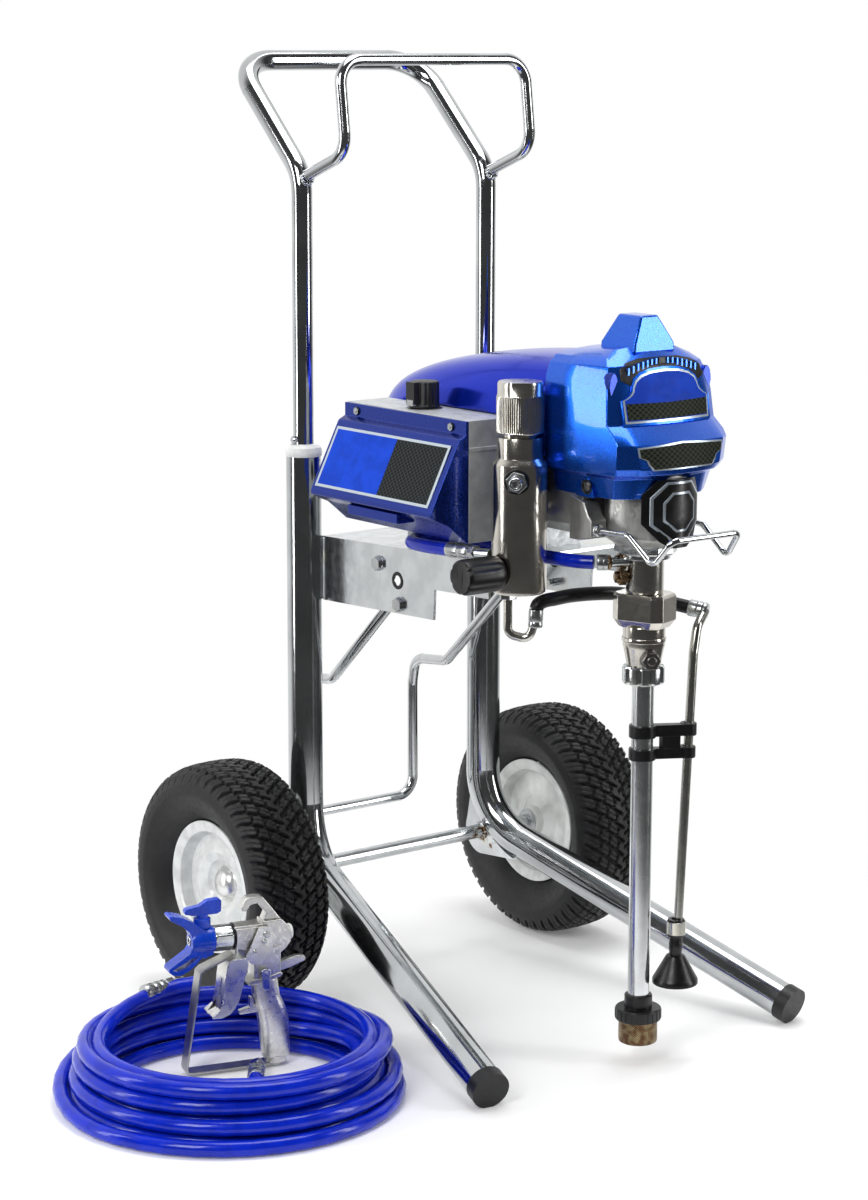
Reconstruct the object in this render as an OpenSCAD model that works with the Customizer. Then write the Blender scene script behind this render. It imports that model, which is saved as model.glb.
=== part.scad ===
// Airless paint sprayer on a two-wheel cart, with its spray gun and a coiled fluid hose.
// Frame: +Z up, floor at z = 0, the pump and the leg ends towards -Y, the control box towards -X.
// The origin lies on the floor, midway between the two uprights. All sizes are in millimetres.

/* [Cart] */
// Distance from the middle of the cart to each upright tube
upright_x = 124.6; // [122:0.2:127]
// Outside diameter of the lower cart tubes
tube_d = 38.1; // [37:0.1:38.6]
// Wall of the lower cart tubes
tube_wall = 2; // [1.6:0.1:2.4]
// Height of the open top of the lower tubes
tube_top_z = 591; // [588:1:594]
// Slope of the legs down to the floor, in degrees
leg_slope = 17; // [16.5:0.1:17.5]
// Distance from the middle to each leg's front end
leg_end_x = 207; // [204:1:210]
// Distance from the uprights forward to each leg's front end
leg_end_y = 427; // [424:1:430]

/* [Handle] */
// Outside diameter of the telescoping handle tube
handle_d = 22.2; // [21.8:0.1:22.4]
// Height at which the handle tube bends back
handle_bend_z = 889; // [886:1:892]
// Height of the rear grip bar
grip_z = 1007; // [1000:1:1012]
// How far the rear grip bar lies behind the uprights
grip_y = 123; // [118:1:128]
// Diameter of the front hoop's rod
hoop_d = 12.7; // [12:0.1:13.2]

/* [Wheels] */
// Outside diameter of the tyres
tyre_d = 266.8; // [266:0.2:268]
// Width of the tyres
tyre_w = 92.6; // [90:0.2:93]
// Distance from the middle of the cart to each tyre's middle
wheel_x = 224.4; // [223.6:0.2:226]
// Diameter of the rim's edge
rim_d = 152; // [150:1:153]
// Diameter of the axle rod
axle_d = 15.88; // [15.6:0.02:15.9]

/* [Pump] */
// Distance from the uprights forward to the pump's axis
pump_y = 410; // [408:1:412]
// Outside diameter of the suction tube
suction_d = 22.2; // [21.6:0.1:22.6]
// Outside diameter of the drain tube
drain_d = 9.5; // [9:0.1:9.6]
// Stroke of the pump rod
stroke = 25; // [20:1:25]

/* [Drive] */
// Height of the motor's axis
motor_z = 600; // [600:1:601]
// Gear module
gear_m = 2; // [2:1:2]
// Teeth on the driven gear
gear_teeth = 40; // [40:1:40]
// Teeth on the motor's pinion
pinion_teeth = 10; // [10:1:10]

/* [Control and filter] */
// Length of the control box along the cart
box_len = 204; // [200:1:206]
// Diameter of the filter manifold's body
manifold_d = 55.2; // [54:0.2:56]

/* [Hose and gun] */
// Outside diameter of the fluid hose
hose_d = 16; // [15.6:0.1:16]
// Outside radius of the hose coil at the floor
coil_r = 180; // [176:1:181]
// Thickness of the gun's cast body
gun_w = 24; // [22:1:25]

/* [Hidden] */
$fn = 48;
axle_z = tyre_d / 2;
tube_r = tube_d / 2;
bore_d = tube_d - 2 * tube_wall;
run = 0.06;
lap = 0.8;
cap_r = 20;
cap_flat = 0.5;
cap_len = 14;
leg_end_z = cap_r * cos(leg_slope) - cap_flat;
leg_end = [leg_end_x, -leg_end_y, leg_end_z];
corner_z = leg_end_z + leg_end_y * tan(leg_slope);
corner = [upright_x, 0, corner_z];
leg_dir = (leg_end - corner) / norm(leg_end - corner);
bend_r = 80;
reach_up = bend_r * tan((90 - leg_slope) / 2);
bush_h = 13;
bush_bore = handle_d + 2 * run;
bush_depth = 60;
handle_foot_z = tube_top_z - 90;
button_z = tube_top_z + bush_h + 5;
rod_d = 11.8;
wire_d = 6.4;
tray_z = 503;
tray_tilt = 2.4;
tray_x = 108;
tray_t = 3;
crank_z = motor_z + gear_m * (gear_teeth + pinion_teeth) / 2;
crank_throw = stroke / 2;
box_x = -132;
box_front_y = -294;
box_z0 = 536;
box_z1 = 659;
man = [-104, -339];
valve_z = 513;
outlet_z = 605;
coil_c = [-383, -236];
coil_h = 65;
gun_at = [-302, -192, 0];
gun_turn = -16;
drain_route = [[74, -419, 463], [55, -428, 450], [49, -430, 425], [33, -430, 112]];

// Route of the short black drain hose, from the manifold to the drain tube
drain_hose_route = [[-92, -352, 474], [-90, -353, 479], [-83, -355, 482], [-72, -357, 483],
    [-50, -358, 484], [-20, -361, 483], [8, -364, 480], [34, -372, 474], [54, -388, 469],
    [67, -407, 465]];
// Route of the short blue hose that links the pump's outlet to the manifold
link_route = [[-49, -389, 522], [-58, -376, 522], [-64, -356, 522], [-67, -330, 522], [-68, -280, 522],
    [-72, -230, 522], [-84, -190, 522], [-104, -174, 522], [-122, -188, 522], [-128, -220, 523],
    [-128, -262, 525]];
// Route of the loose end of the fluid hose, from the coupling near the gun to the coil
lead_route = [[-352, -232, 8], [-359, -242, 8], [-366, -252, 8], [-377, -264, 8], [-389, -274, 8],
    [-404, -281, 8], [-420, -285, 8], [-436, -285, 8], [-452, -282, 8], [-466, -275, 8],
    [-480, -266, 8]];

// ---- helpers ----

function unit(v) = v / norm(v);
function flip(p) = [-p.x, p.y, p.z];
function flip_all(path) = [for (p = path) flip(p)];

// Turns local X, Y and Z to three given unit vectors and moves the origin to c
module basis(x, y, z, c) {
    multmatrix([[x.x, y.x, z.x, c.x], [x.y, y.y, z.y, c.y], [x.z, y.z, z.z, c.z], [0, 0, 0, 1]])
        children();
}

// A straight round bar between two points
module bar(a, b, d) {
    v = b - a;
    translate(a) rotate([0, acos(v.z / norm(v)), atan2(v.y, v.x)]) cylinder(h = norm(v), d = d);
}

// A cylinder along X, centred in y and z
module cyl_x(x0, x1, r, y = 0, z = 0) {
    translate([x0, y, z]) rotate([0, 90, 0]) cylinder(h = x1 - x0, r = r);
}

// A cylinder along Y, centred in x and z
module cyl_y(y0, y1, r, x = 0, z = 0) {
    translate([x, y0, z]) rotate([-90, 0, 0]) cylinder(h = y1 - y0, r = r);
}

// The rounded corner of a bar at b, coming from a and going to c, with bend radius r
module elbow(a, b, c, d, r) {
    u = unit(b - a);
    v = unit(c - b);
    turn = acos(u * v);
    mid = b + unit(v - u) * r / cos(turn / 2);
    out = unit(b - u * r * tan(turn / 2) - mid);
    basis(out, u, cross(out, u), mid) rotate_extrude(angle = turn) translate([r, 0]) circle(d = d);
}

// How far a corner's bend reaches along each side of it
function reach(a, b, c, r) = r * tan(acos(unit(b - a) * unit(c - b)) / 2);

// A round bar bent along a path, with the same bend radius at every corner. The straights run a
// little way into the corners and are a hair thinner, so that the pieces fuse cleanly.
module bent_bar(path, d, r) {
    last = len(path) - 1;
    for (i = [0:last - 1]) {
        u = unit(path[i + 1] - path[i]);
        cut_a = i == 0 ? 0 : reach(path[i - 1], path[i], path[i + 1], r) - lap;
        cut_b = i == last - 1 ? 0 : reach(path[i], path[i + 1], path[i + 2], r) - lap;
        bar(path[i] + u * cut_a, path[i + 1] - u * cut_b, d - 0.2);
    }
    for (i = [1:last - 1]) elbow(path[i - 1], path[i], path[i + 1], d, r);
}

// A plain hose swept along a route of points as one closed solid
module hose(route, d, sides = 10) {
    n = len(route);
    dirs = [for (i = [0:n - 1]) unit(route[min(i + 1, n - 1)] - route[max(i - 1, 0)])];
    pts = [for (i = [0:n - 1]) let (s = unit(cross(dirs[i], [0, 0, 1] + dirs[i].z * [1, 0, 0])),
        t = cross(s, dirs[i])) for (k = [0:sides - 1])
            route[i] + d / 2 * (cos(360 * k / sides) * s + sin(360 * k / sides) * t)];
    walls = [for (i = [0:n - 2], k = [0:sides - 1]) let (j = (k + 1) % sides)
        [i * sides + k, i * sides + j, (i + 1) * sides + j, (i + 1) * sides + k]];
    start = [[for (k = [sides - 1:-1:0]) k]];
    end = [[for (k = [0:sides - 1]) (n - 1) * sides + k]];
    polyhedron(concat(start, walls, end) == [] ? [] : pts, concat(start, walls, end));
}

// A solid given by its side outline (y, z), spanning x0 to x1
module slab_x(outline, x0, x1) {
    translate([x0, 0, 0]) rotate([90, 0, 90]) linear_extrude(x1 - x0) polygon(outline);
}

// A solid given by its end outline (x, z), spanning y0 to y1
module slab_y(outline, y0, y1) {
    translate([0, y1, 0]) rotate([90, 0, 0]) linear_extrude(y1 - y0) polygon(outline);
}

// A solid given by its plan outline (x, y), spanning z0 to z1
module slab_z(outline, z0, z1) {
    translate([0, 0, z0]) linear_extrude(z1 - z0) polygon(outline);
}

// The right half of an outline, mirrored to make the whole of it
function both_sides(half) = concat(half, [for (i = [len(half) - 1:-1:0]) [-half[i].x, half[i].y]]);

// A hexagon bar along Z, given across its flats
module hex_z(z0, z1, flats) {
    translate([0, 0, z0]) cylinder(h = z1 - z0, d = flats / cos(30), $fn = 6);
}

// ---- cart ----

module tube_path(d) {
    bent_bar([[upright_x, 0, tube_top_z], corner, leg_end - leg_dir * cap_len], d, bend_r);
}

module side_tube() {
    color("silver") difference() {
        tube_path(tube_d);
        tube_path(bore_d);
    }
}

module leg_cap() {
    back = leg_end - leg_dir * (cap_len + 12);
    side = unit(cross(leg_dir, [0, 0, 1]));
    color("#1a1a1a") intersection() {
        basis(side, cross(leg_dir, side), leg_dir, back) union() {
            cylinder(h = 12.5, d = bore_d - 0.2);
            translate([0, 0, 12]) cylinder(h = cap_len, r = cap_r);
        }
        translate([leg_end_x, -leg_end_y, 50]) cube([120, 120, 100], center = true);
    }
}

module leg_caps() {
    leg_cap();
    mirror([1, 0, 0]) leg_cap();
}

// Gusset plate that hangs the axle under the bend of a side tube
module axle_plate(x) {
    difference() {
        union() {
            cyl_x(x - 3, x + 3, 27, 0, axle_z);
            slab_x([[27, axle_z], [13, 205], [-8, 205], [-58, 130], [-58, 112], [0, axle_z - 27]],
                x - 3, x + 3);
        }
        cyl_x(x - 4, x + 4, bend_r + tube_r - 1.5, -bend_r, corner_z + reach_up);
    }
}

module axle() {
    color("silver") {
        cyl_x(-wheel_x - 12, wheel_x + 12, axle_d / 2, 0, axle_z);
        axle_plate(-upright_x);
        axle_plate(upright_x);
    }
}

module handle_bush(side) {
    color("white") translate([side * upright_x, 0, tube_top_z]) difference() {
        union() {
            rotate_extrude() polygon([[0, 0], [tube_r, 0], [tube_r + 0.4, 4], [tube_r - 1, bush_h - 3],
                [tube_r - 5, bush_h], [0, bush_h]]);
            translate([0, 0, -bush_depth]) cylinder(h = bush_depth + 1, d = bore_d - 0.1);
        }
        translate([0, 0, -bush_depth - 1]) cylinder(h = bush_depth + bush_h + 2, d = bush_bore);
        // keyway that the snap button runs down
        translate([side * tube_r / 2, 0, -bush_h]) cube([tube_r - 2, 11, 200], center = true);
    }
}

module handle_bushes() {
    handle_bush(-1);
    handle_bush(1);
}

handle_path = [[-upright_x, 0, handle_foot_z], [-upright_x, 0, handle_bend_z],
    [-upright_x, grip_y, grip_z], [upright_x, grip_y, grip_z], [upright_x, 0, handle_bend_z],
    [upright_x, 0, handle_foot_z]];

module button_hole(side) {
    cyl_x(min(0, side * (upright_x + 20)), max(0, side * (upright_x + 20)), 4 + run, 0, button_z);
}

module handle_tube() {
    color("silver") difference() {
        bent_bar(handle_path, handle_d, 45);
        bent_bar(handle_path, handle_d - 3, 45);
        button_hole(-1);
        button_hole(1);
    }
}

module handle_hoop() {
    color("silver") difference() {
        bent_bar([[-upright_x, -2, 886], [-upright_x + 1, -78, 914], [-upright_x + 1, -66, 1009],
            [upright_x - 1, -66, 1009], [upright_x - 1, -78, 914], [upright_x, -2, 886]], hoop_d, 26);
        bent_bar(handle_path, handle_d - 0.4, 45);
    }
}

module snap_button(side) {
    color("silver") {
        translate([side * upright_x, 0, button_z]) rotate([0, side * 90, 0]) {
            translate([0, 0, 4]) cylinder(h = 10, r = 4);
            translate([0, 0, 14]) cylinder(h = 1.4, r1 = 4, r2 = 2.6);
        }
    }
}

// ---- wheels ----

// Half of a tyre's section, from the crown over the shoulder and the side wall to the bead
tyre_half = [[tyre_d / 2, 12], [tyre_d / 2 - 1, 24], [tyre_d / 2 - 4, 34], [tyre_d / 2 - 10, 41],
    [tyre_d / 2 - 20, tyre_w / 2 - 1], [tyre_d / 2 - 30, tyre_w / 2], [tyre_d / 2 - 40, 42],
    [tyre_d / 2 - 50, 33], [rim_d / 2 - 3.7, 25]];
tyre_inside = [[tyre_d / 2 - 11, 20], [tyre_d / 2 - 16, 33], [tyre_d / 2 - 28, 38],
    [tyre_d / 2 - 42, 32], [rim_d / 2 - 3.7, 19]];

function mirror_y(pts) = [for (p = pts) [p.x, -p.y]];
function backwards(pts) = [for (i = [len(pts) - 1:-1:0]) pts[i]];

module tyre(x) {
    color("#222222") translate([x, 0, axle_z]) rotate([0, 90, 0]) rotate_extrude($fn = 96)
        polygon(concat(backwards(tyre_half), mirror_y(tyre_half), mirror_y(backwards(tyre_inside)),
            tyre_inside));
}

// The rim, its dished disc and its hub, about X with the outside face towards +X
module rim(x, side) {
    flange = 27;
    color("#f4f4f2") translate([x, 0, axle_z]) rotate([0, side * 90, 0]) rotate_extrude($fn = 96)
        polygon([[axle_d / 2 + run, -32], [15, -32], [17, -22], [30, -14], [58, -12], [60, -flange],
            [rim_d / 2 - 3, -flange - 1], [rim_d / 2 - 4.2, -flange + 2], [64, -flange + 4],
            [63, 0], [64, flange - 4], [rim_d / 2 - 4.2, flange - 2], [rim_d / 2 - 3, flange + 1],
            [60, flange - 3], [48, 18], [24, 5], [17, 3], [axle_d / 2 + run, 3]]);
}

module hub_cap(side) {
    color("silver") translate([side * (wheel_x + 3.4), 0, axle_z]) rotate([0, side * 90, 0])
        difference() {
            rotate_extrude() polygon([[0, 0], [18, 0], [17.5, 3], [14.5, 8], [9, 11.5], [0, 13]]);
            translate([0, 0, -1]) cylinder(h = 10, d = axle_d + 2 * run);
        }
}

module hub_caps() {
    hub_cap(-1);
    hub_cap(1);
}

// ---- motor tray, rack and fasteners ----

module tilted() {
    translate([0, 0, tray_z]) rotate([-tray_tilt, 0, 0]) children();
}

module tray_side() {
    slab_x([[-9, -70], [-9, 0], [-295, 0], [-295, -38], [-206, -38], [-203, -70]],
        -tray_x, -tray_x + tray_t);
}

tray_bolts = [[-111, -20], [-146, -60]];

module motor_tray() {
    color("#c9ced2") difference() {
        tilted() {
            tray_side();
            mirror([1, 0, 0]) tray_side();
            translate([-tray_x, -295, -tray_t]) cube([2 * tray_x, 286, tray_t]);
        }
        for (s = [-1, 1]) bar([s * upright_x, 0, 400], [s * upright_x, 0, 600], tube_d);
        tilted() {
            for (p = tray_bolts) cyl_x(-tray_x - 1, tray_x + 1, 4.1, p.x, p.y);
            cyl_x(-tray_x - 1, tray_x + 1, 9, -145, -35);
        }
    }
}

rack_half = [[80, -175, 513], [80, 12, 337], [82, 72, 330], [84, 80, 300], [84, 80, 167]];

module hose_rack() {
    color("silver") difference() {
        bent_bar(concat(rack_half, flip_all(backwards(rack_half))), rod_d, 22);
        tilted() translate([-tray_x, -300, -tray_t]) cube([2 * tray_x, 300, 30]);
    }
}

module cap_screw(d, len, head_d, head_h) {
    cylinder(h = len, d = d);
    translate([0, 0, -head_h]) cylinder(h = head_h, d = head_d / cos(30), $fn = 6);
}

module screws() {
    color("#d5d8da") {
        tilted() for (p = tray_bolts, s = [-1, 1])
            translate([s * tray_x, p.x, p.y]) rotate([0, -s * 90, 0]) cap_screw(8, 14, 13, 5);
        for (y = [box_front_y + 24, box_front_y + box_len - 22])
            translate([box_x - 3.6, y, box_z1 - 8]) rotate([0, 90, 0]) cap_screw(4, 3, 7, 2);
        for (s = [-1, 1]) translate([s * 63.5, -392, 602]) rotate([0, -s * 90, 0])
            cap_screw(5, 10, 7, 3);
    }
}

// ---- motor and drive ----

module motor_case() {
    color("#8d9196") difference() {
        union() {
            cyl_y(-289, -62, 62, 0, motor_z);
            tilted() translate([-45, -260, 0]) cube([90, 180, 60]);
            translate([-72, -240, 585]) cube([30, 100, 30]);
        }
        cyl_y(-280, -70, 50, 0, motor_z);
        cyl_y(-290, -260, 14, 0, motor_z);
        cyl_y(-80, -61, 8 + run, 0, motor_z);
    }
}

// A spur gear outline with slightly thin teeth, so that a meshed pair runs free
function gear_outline(teeth, m) = [for (i = [0:teeth - 1], p = [[-0.3, -1.2], [-0.12, 0.9],
    [0.12, 0.9], [0.3, -1.2]]) let (a = 360 * (i + p.x) / teeth, r = m * (teeth / 2 + p.y))
        [r * cos(a), r * sin(a)]];

module motor_rotor() {
    color("#b0b0b0") translate([0, 0, motor_z]) {
        cyl_y(-300, -52, 8);
        cyl_y(-258, -100, 44);
        translate([0, -300, 0]) rotate([90, 90 + 180 / pinion_teeth, 0])
            linear_extrude(34) polygon(gear_outline(pinion_teeth, gear_m));
    }
}

module motor_fan() {
    color("#303030") translate([0, -52, motor_z]) rotate([90, 0, 0]) {
        difference() {
            cylinder(h = 8, r = 16);
            translate([0, 0, -1]) cylinder(h = 10, r = 8);
        }
        for (i = [0:8]) rotate([0, 0, 40 * i]) translate([15, -1, 0]) cube([35, 2, 8]);
    }
}

module drive_housing() {
    color("#b9bcbe") difference() {
        union() {
            slab_y(both_sides([[40, 545], [56, 560], [56, 600], [62, 630], [62, 680], [48, 706]]),
                -386, -289);
            for (s = [-1, 1]) {
                translate([s * 56 - 10, -404, 546]) cube([20, 34, 24]);
                translate([s * 54 - 5, -400, 594]) cube([10, 20, 16]);
            }
        }
        cyl_y(-376, -298, 46, 0, crank_z);
        cyl_y(-387, -375, 30, 0, crank_z);
        cyl_y(-340, -288, 14, 0, motor_z);
        translate([0, -pump_y, 530]) cylinder(h = 180, r = 44);
        for (s = [-1, 1]) {
            bar([s * 50, -440, 556], [s * 62.2, -393, 557.1], wire_d + 0.2);
            cyl_x(min(s * 48, s * 60), max(s * 48, s * 60), 2.6, -392, 602);
        }
    }
}

module drive_gear() {
    color("#a8a8a8") translate([0, 0, crank_z]) {
        translate([0, -310, 0]) rotate([90, 90, 0])
            linear_extrude(22) polygon(gear_outline(gear_teeth, gear_m));
        cyl_y(-390, -332, 12);
        cyl_y(-400, -388, 24);
        cyl_y(-402, -399, 7, 0, crank_throw);
    }
}

module connecting_rod() {
    color("#9a9a9a") translate([0, -pump_y + 7.5, 0]) rotate([90, 0, 0]) linear_extrude(15) {
        translate([0, crank_z + crank_throw]) circle(r = 14);
        translate([-12, 590]) square([24, 20]);
        translate([-8, 609]) square([16, crank_z + crank_throw - 609]);
    }
}

module bearing_housing() {
    color("#c2c5c6") translate([0, -pump_y, 0]) difference() {
        union() {
            translate([0, 0, 545]) cylinder(h = 78, r = 44);
            translate([0, 0, 538]) cylinder(h = 8, r = 30);
        }
        translate([0, 0, 537.9]) cylinder(h = 100, r = 18.95);
        translate([0, 0, 550]) cylinder(h = 100, r = 27);
    }
}

// ---- covers ----

cover_side = [[-345, 590], [-345, 724], [-368, 735], [-376, 765], [-412, 763], [-418, 735],
    [-430, 722], [-438, 661], [-449, 652], [-462, 645], [-466, 622], [-452, 612], [-448, 590]];
cover_end = both_sides([[62, 590], [66, 612], [78, 640], [78, 700], [72, 724], [25, 737], [10, 766]]);
cover_plan = both_sides([[79, -345], [79, -378], [71, -432], [69, -452], [52, -466]]);
cover_in_side = [[-340, 580], [-340, 721], [-368, 732], [-378, 762], [-410, 760], [-415, 732],
    [-427, 719], [-435, 661], [-449, 648], [-459, 642], [-463, 624], [-449, 616], [-445, 580]];
cover_in_end = both_sides([[57, 580], [63, 613], [75, 641], [75, 699], [70, 721], [24, 734], [8, 763]]);
cover_in_plan = both_sides([[76, -340], [76, -377], [68, -430], [66, -450], [50, -463]]);

module cover_form(side, end, plan) {
    intersection() {
        slab_x(side, -90, 90);
        slab_y(end, -480, -340);
        slab_z(plan, 570, 780);
    }
}

module front_cover() {
    color("#1238c8") difference() {
        cover_form(cover_side, cover_end, cover_plan);
        cover_form(cover_in_side, cover_in_end, cover_in_plan);
        // pocket that the pin guard slides up into
        translate([0, -pump_y, 580]) cylinder(h = 48, r = 51.5);
        cyl_x(-80, 80, 4.6, -392, 602);
    }
}

shroud_side = [[-345, 560], [-345, 722], [-290, 722], [-230, 718], [-177, 711], [-116, 698],
    [-71, 684], [-46, 668], [-32, 646], [-28, 610], [-34, 575], [-42, 560]];
shroud_end = both_sides([[70, 560], [78, 580], [78, 660], [70, 695], [46, 716], [20, 722]]);
shroud_plan = both_sides([[79, -345], [79, -120], [70, -64], [44, -34], [20, -27]]);

module shroud_form(s, wall) {
    intersection() {
        slab_x([for (p = shroud_side) [p.x - wall, p.y - wall]], -90, 90);
        slab_y([for (p = shroud_end) [p.x * s, p.y - wall]], -350, -20);
        slab_z([for (p = shroud_plan) [p.x * s, p.y - wall]], 540, 740);
    }
}

module rear_shroud() {
    color("#1238c8") difference() {
        shroud_form(1, 0);
        shroud_form(0.96, 3);
        // the control box and the filter manifold stand in cut-outs in the left side
        translate([-90, box_front_y - 1, 550]) cube([18.5, box_len + 2, box_z1 - 549]);
        translate([man.x, man.y, 550]) cylinder(h = 76, r = manifold_d / 2 + 1);
        cyl_x(-90, -60, 16, man.y + 14, 580);
    }
}

module pin_guard() {
    color("#151515") intersection() {
        translate([0, -pump_y, 541]) difference() {
            cylinder(h = 68, r = 50);
            translate([0, 0, -1]) cylinder(h = 70, r = 46);
        }
        slab_y(both_sides([[12, 541], [37, 566], [37, 594], [22, 609]]), -480, -430);
    }
}

// ---- pump ----

module pump_rod() {
    color("#d8d8d8") translate([0, -pump_y, 0]) {
        translate([0, 0, 500]) cylinder(h = 90, r = 8);
        translate([0, 0, 492]) cylinder(h = 10, r = 12.4);
    }
}

module pump_cylinder() {
    color("#8b9384") translate([0, -pump_y, 0]) difference() {
        union() {
            translate([0, 0, 466]) cylinder(h = 24, r = 16);
            translate([0, 0, 489.5]) cylinder(h = 72.5, r = 18.9);
        }
        translate([0, 0, 465]) cylinder(h = 90, r = 12.5);
        translate([0, 0, 540]) cylinder(h = 30, r = 8.06);
    }
}

module pump_body() {
    color("#a89f86") translate([0, -pump_y, 0]) difference() {
        union() {
            intersection() {
                translate([0, 0, 456]) cylinder(h = 33.5, r = 28.5);
                rotate([0, 0, 20]) translate([-22, -40, 440]) cube([44, 80, 60]);
                union() {
                    translate([0, 0, 463]) cylinder(h = 27, r = 40);
                    translate([0, 0, 455]) cylinder(h = 8.1, r1 = 21.5, r2 = 30);
                }
            }
            translate([0, 0, 437]) cylinder(h = 20, r = 21.4);
            translate([0, 0, 415.5]) cylinder(h = 21.6, r1 = 17, r2 = 21.4);
        }
        translate([0, 0, 466]) cylinder(h = 30, r = 16);
        translate([0, 0, 414]) cylinder(h = 60, r = 9);
        translate([0, 0, 424]) rotate([90, 0, -24]) cylinder(h = 40, r = 5.02);
    }
}

module pump_plug() {
    color("#4d4a42") translate([0, -pump_y, 424]) rotate([90, 0, -24]) {
        translate([0, 0, 13]) cylinder(h = 9, r = 5);
        translate([0, 0, 21.5]) cylinder(h = 5, d = 17, $fn = 6);
    }
}

module suction_nut() {
    color("#c4ccd2") translate([0, -pump_y, 397]) difference() {
        cylinder(h = 18.5, r = 21.5);
        translate([0, 0, -1]) cylinder(h = 21, d = suction_d + 0.2);
        for (i = [0:9]) rotate([0, 0, 36 * i]) translate([24, 0, -1]) cylinder(h = 21, r = 4.5);
    }
}

module suction_tube() {
    color("#d4d8da") translate([0, -pump_y, 66]) difference() {
        cylinder(h = 349.5, d = suction_d);
        translate([0, 0, -1]) cylinder(h = 352, d = suction_d - 3);
    }
}

module strainer() {
    color("#1c1c1c") translate([0, -pump_y, 0]) difference() {
        union() {
            translate([0, 0, 57]) cylinder(h = 15, r = 14.3);
            translate([0, 0, 45]) cylinder(h = 12.1, r = 23.4);
            translate([0, 0, 21]) cylinder(h = 24.1, r = 20);
        }
        translate([0, 0, 66]) cylinder(h = 7, d = suction_d + 0.1);
        translate([0, 0, 24]) cylinder(h = 43, r = 9.5);
    }
}

module drain_tube() {
    color("#bfc0b8") difference() {
        bent_bar(drain_route, drain_d, 14);
        bent_bar(drain_route, drain_d - 2, 14);
    }
    color("#c7cdd0") {
        bar([67, -407, 465], [76, -421, 462.6], 17);
    }
}

module drain_deflector() {
    top = drain_route[3];
    color("#1c1c1c") translate([top.x - 1, top.y, 0]) difference() {
        rotate_extrude() polygon([[0, 82], [23.4, 82], [23.4, 86], [9, 101], [6.6, 112], [6.6, 132],
            [9.2, 132], [9.2, 150], [0, 150]]);
        bent_bar([for (p = drain_route) p - [top.x - 1, top.y, 0]], drain_d + 0.1, 14);
    }
}

module clip_ring(z0, z1) {
    translate([0, -pump_y, z0]) cylinder(h = z1 - z0, r = 13.6);
    translate([43.6, -430, z0]) cylinder(h = z1 - z0, r = 8.6);
    slab_z([[6, -pump_y - 9], [6, -pump_y + 5], [40, -424], [40, -433]], z0, z1);
}

module tube_clip() {
    color("#1c1c1c") difference() {
        union() {
            clip_ring(341, 354);
            clip_ring(318, 330);
            slab_z([[16, -424], [16, -417], [34, -424], [34, -431]], 329, 342);
        }
        translate([0, -pump_y, 300]) cylinder(h = 80, d = suction_d + 0.1);
        bent_bar(drain_route, drain_d + 0.1, 14);
    }
}

module drain_hose() {
    color("#161616") hose(drain_hose_route, 14);
}

hook_half = [[-60.9, -398, 557], [-50, -440, 556], [-49, -475, 530], [-44, -497, 557]];

module pail_hook() {
    color("#cdd2d5") bent_bar(concat(hook_half, flip_all(backwards(hook_half))), wire_d, 9);
}

// ---- control box ----

module control_box() {
    color("#9fa3a6") difference() {
        slab_y([[-72, box_z0], [-72, box_z1 - 2], [-80, box_z1], [box_x, box_z1], [box_x, box_z0]],
            box_front_y, box_front_y + box_len);
        slab_y([[-76, box_z0 + 4], [-76, box_z1 - 6], [box_x - 1, box_z1 - 6], [box_x - 1, box_z0 + 4]],
            box_front_y + 4, box_front_y + box_len - 4);
        translate([-102, -183, box_z1 - 10]) cylinder(h = 20, r = 3.05);
        cyl_y(box_front_y + box_len - 5, box_front_y + box_len + 1, 4.2, -100, 600);
    }
}

control_outline = [[box_x, box_z1 - 0.5], [box_x - 3.5, box_z1 - 0.5], [box_x - 3.5, box_z1 - 14],
    [box_x - 12.5, box_z1 - 18.5], [box_x - 48, 569], [box_x - 44, 565], [box_x, box_z0]];
control_inner = [[box_x + 1, box_z1 - 8], [box_x - 0.8, box_z1 - 14], [box_x - 10, box_z1 - 22],
    [box_x - 44, 570], [box_x + 1, box_z0 + 3]];

module control_cover() {
    color("#1b2f8f") difference() {
        slab_y(control_outline, box_front_y, box_front_y + box_len);
        slab_y(control_inner, box_front_y + 3, box_front_y + box_len - 3);
        for (y = [box_front_y + 24, box_front_y + box_len - 22])
            translate([box_x - 3.61, y, box_z1 - 8]) rotate([0, 90, 0]) cylinder(h = 4, d = 4.1);
    }
}

module pressure_knob() {
    color("#262626") translate([-102, -183, box_z1]) {
        translate([0, 0, 0.4]) cylinder(h = 9, r = 15.5);
        translate([0, 0, 9]) cylinder(h = 19, r = 14.5);
        translate([-20, -6, 5]) cube([12, 12, 23]);
        translate([0, 0, -8]) cylinder(h = 10, r = 3);
    }
}

module power_switch() {
    color("#262626") {
        translate([-100, box_front_y + box_len + 1, 600]) {
            rotate([-70, 0, 0]) cylinder(h = 18, r = 3);
            sphere(r = 4);
            cyl_x(-5, 5, 0.9);
        }
    }
}

// ---- filter manifold ----

module manifold_body() {
    color("#b3ada0") translate([man.x, man.y, 0]) difference() {
        union() {
            translate([0, 0, 491]) cylinder(h = 3, r1 = manifold_d / 2 - 3, r2 = manifold_d / 2);
            translate([0, 0, 494]) cylinder(h = 126, d = manifold_d);
            translate([0, 0, 620]) cylinder(h = 5, r1 = manifold_d / 2, r2 = manifold_d / 2 - 5);
            translate([0, 0, 624]) cylinder(h = 22, r = 22.6);
            cyl_x(20, 42, 15, 14, 580);
        }
        translate([0, 0, 510]) cylinder(h = 140, r = 17);
        cyl_x(-31, -12.5, 7.05, 0, valve_z);
        rotate([0, 0, -135]) cyl_x(10, 40, 6.5, 0, outlet_z);
    }
}

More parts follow.
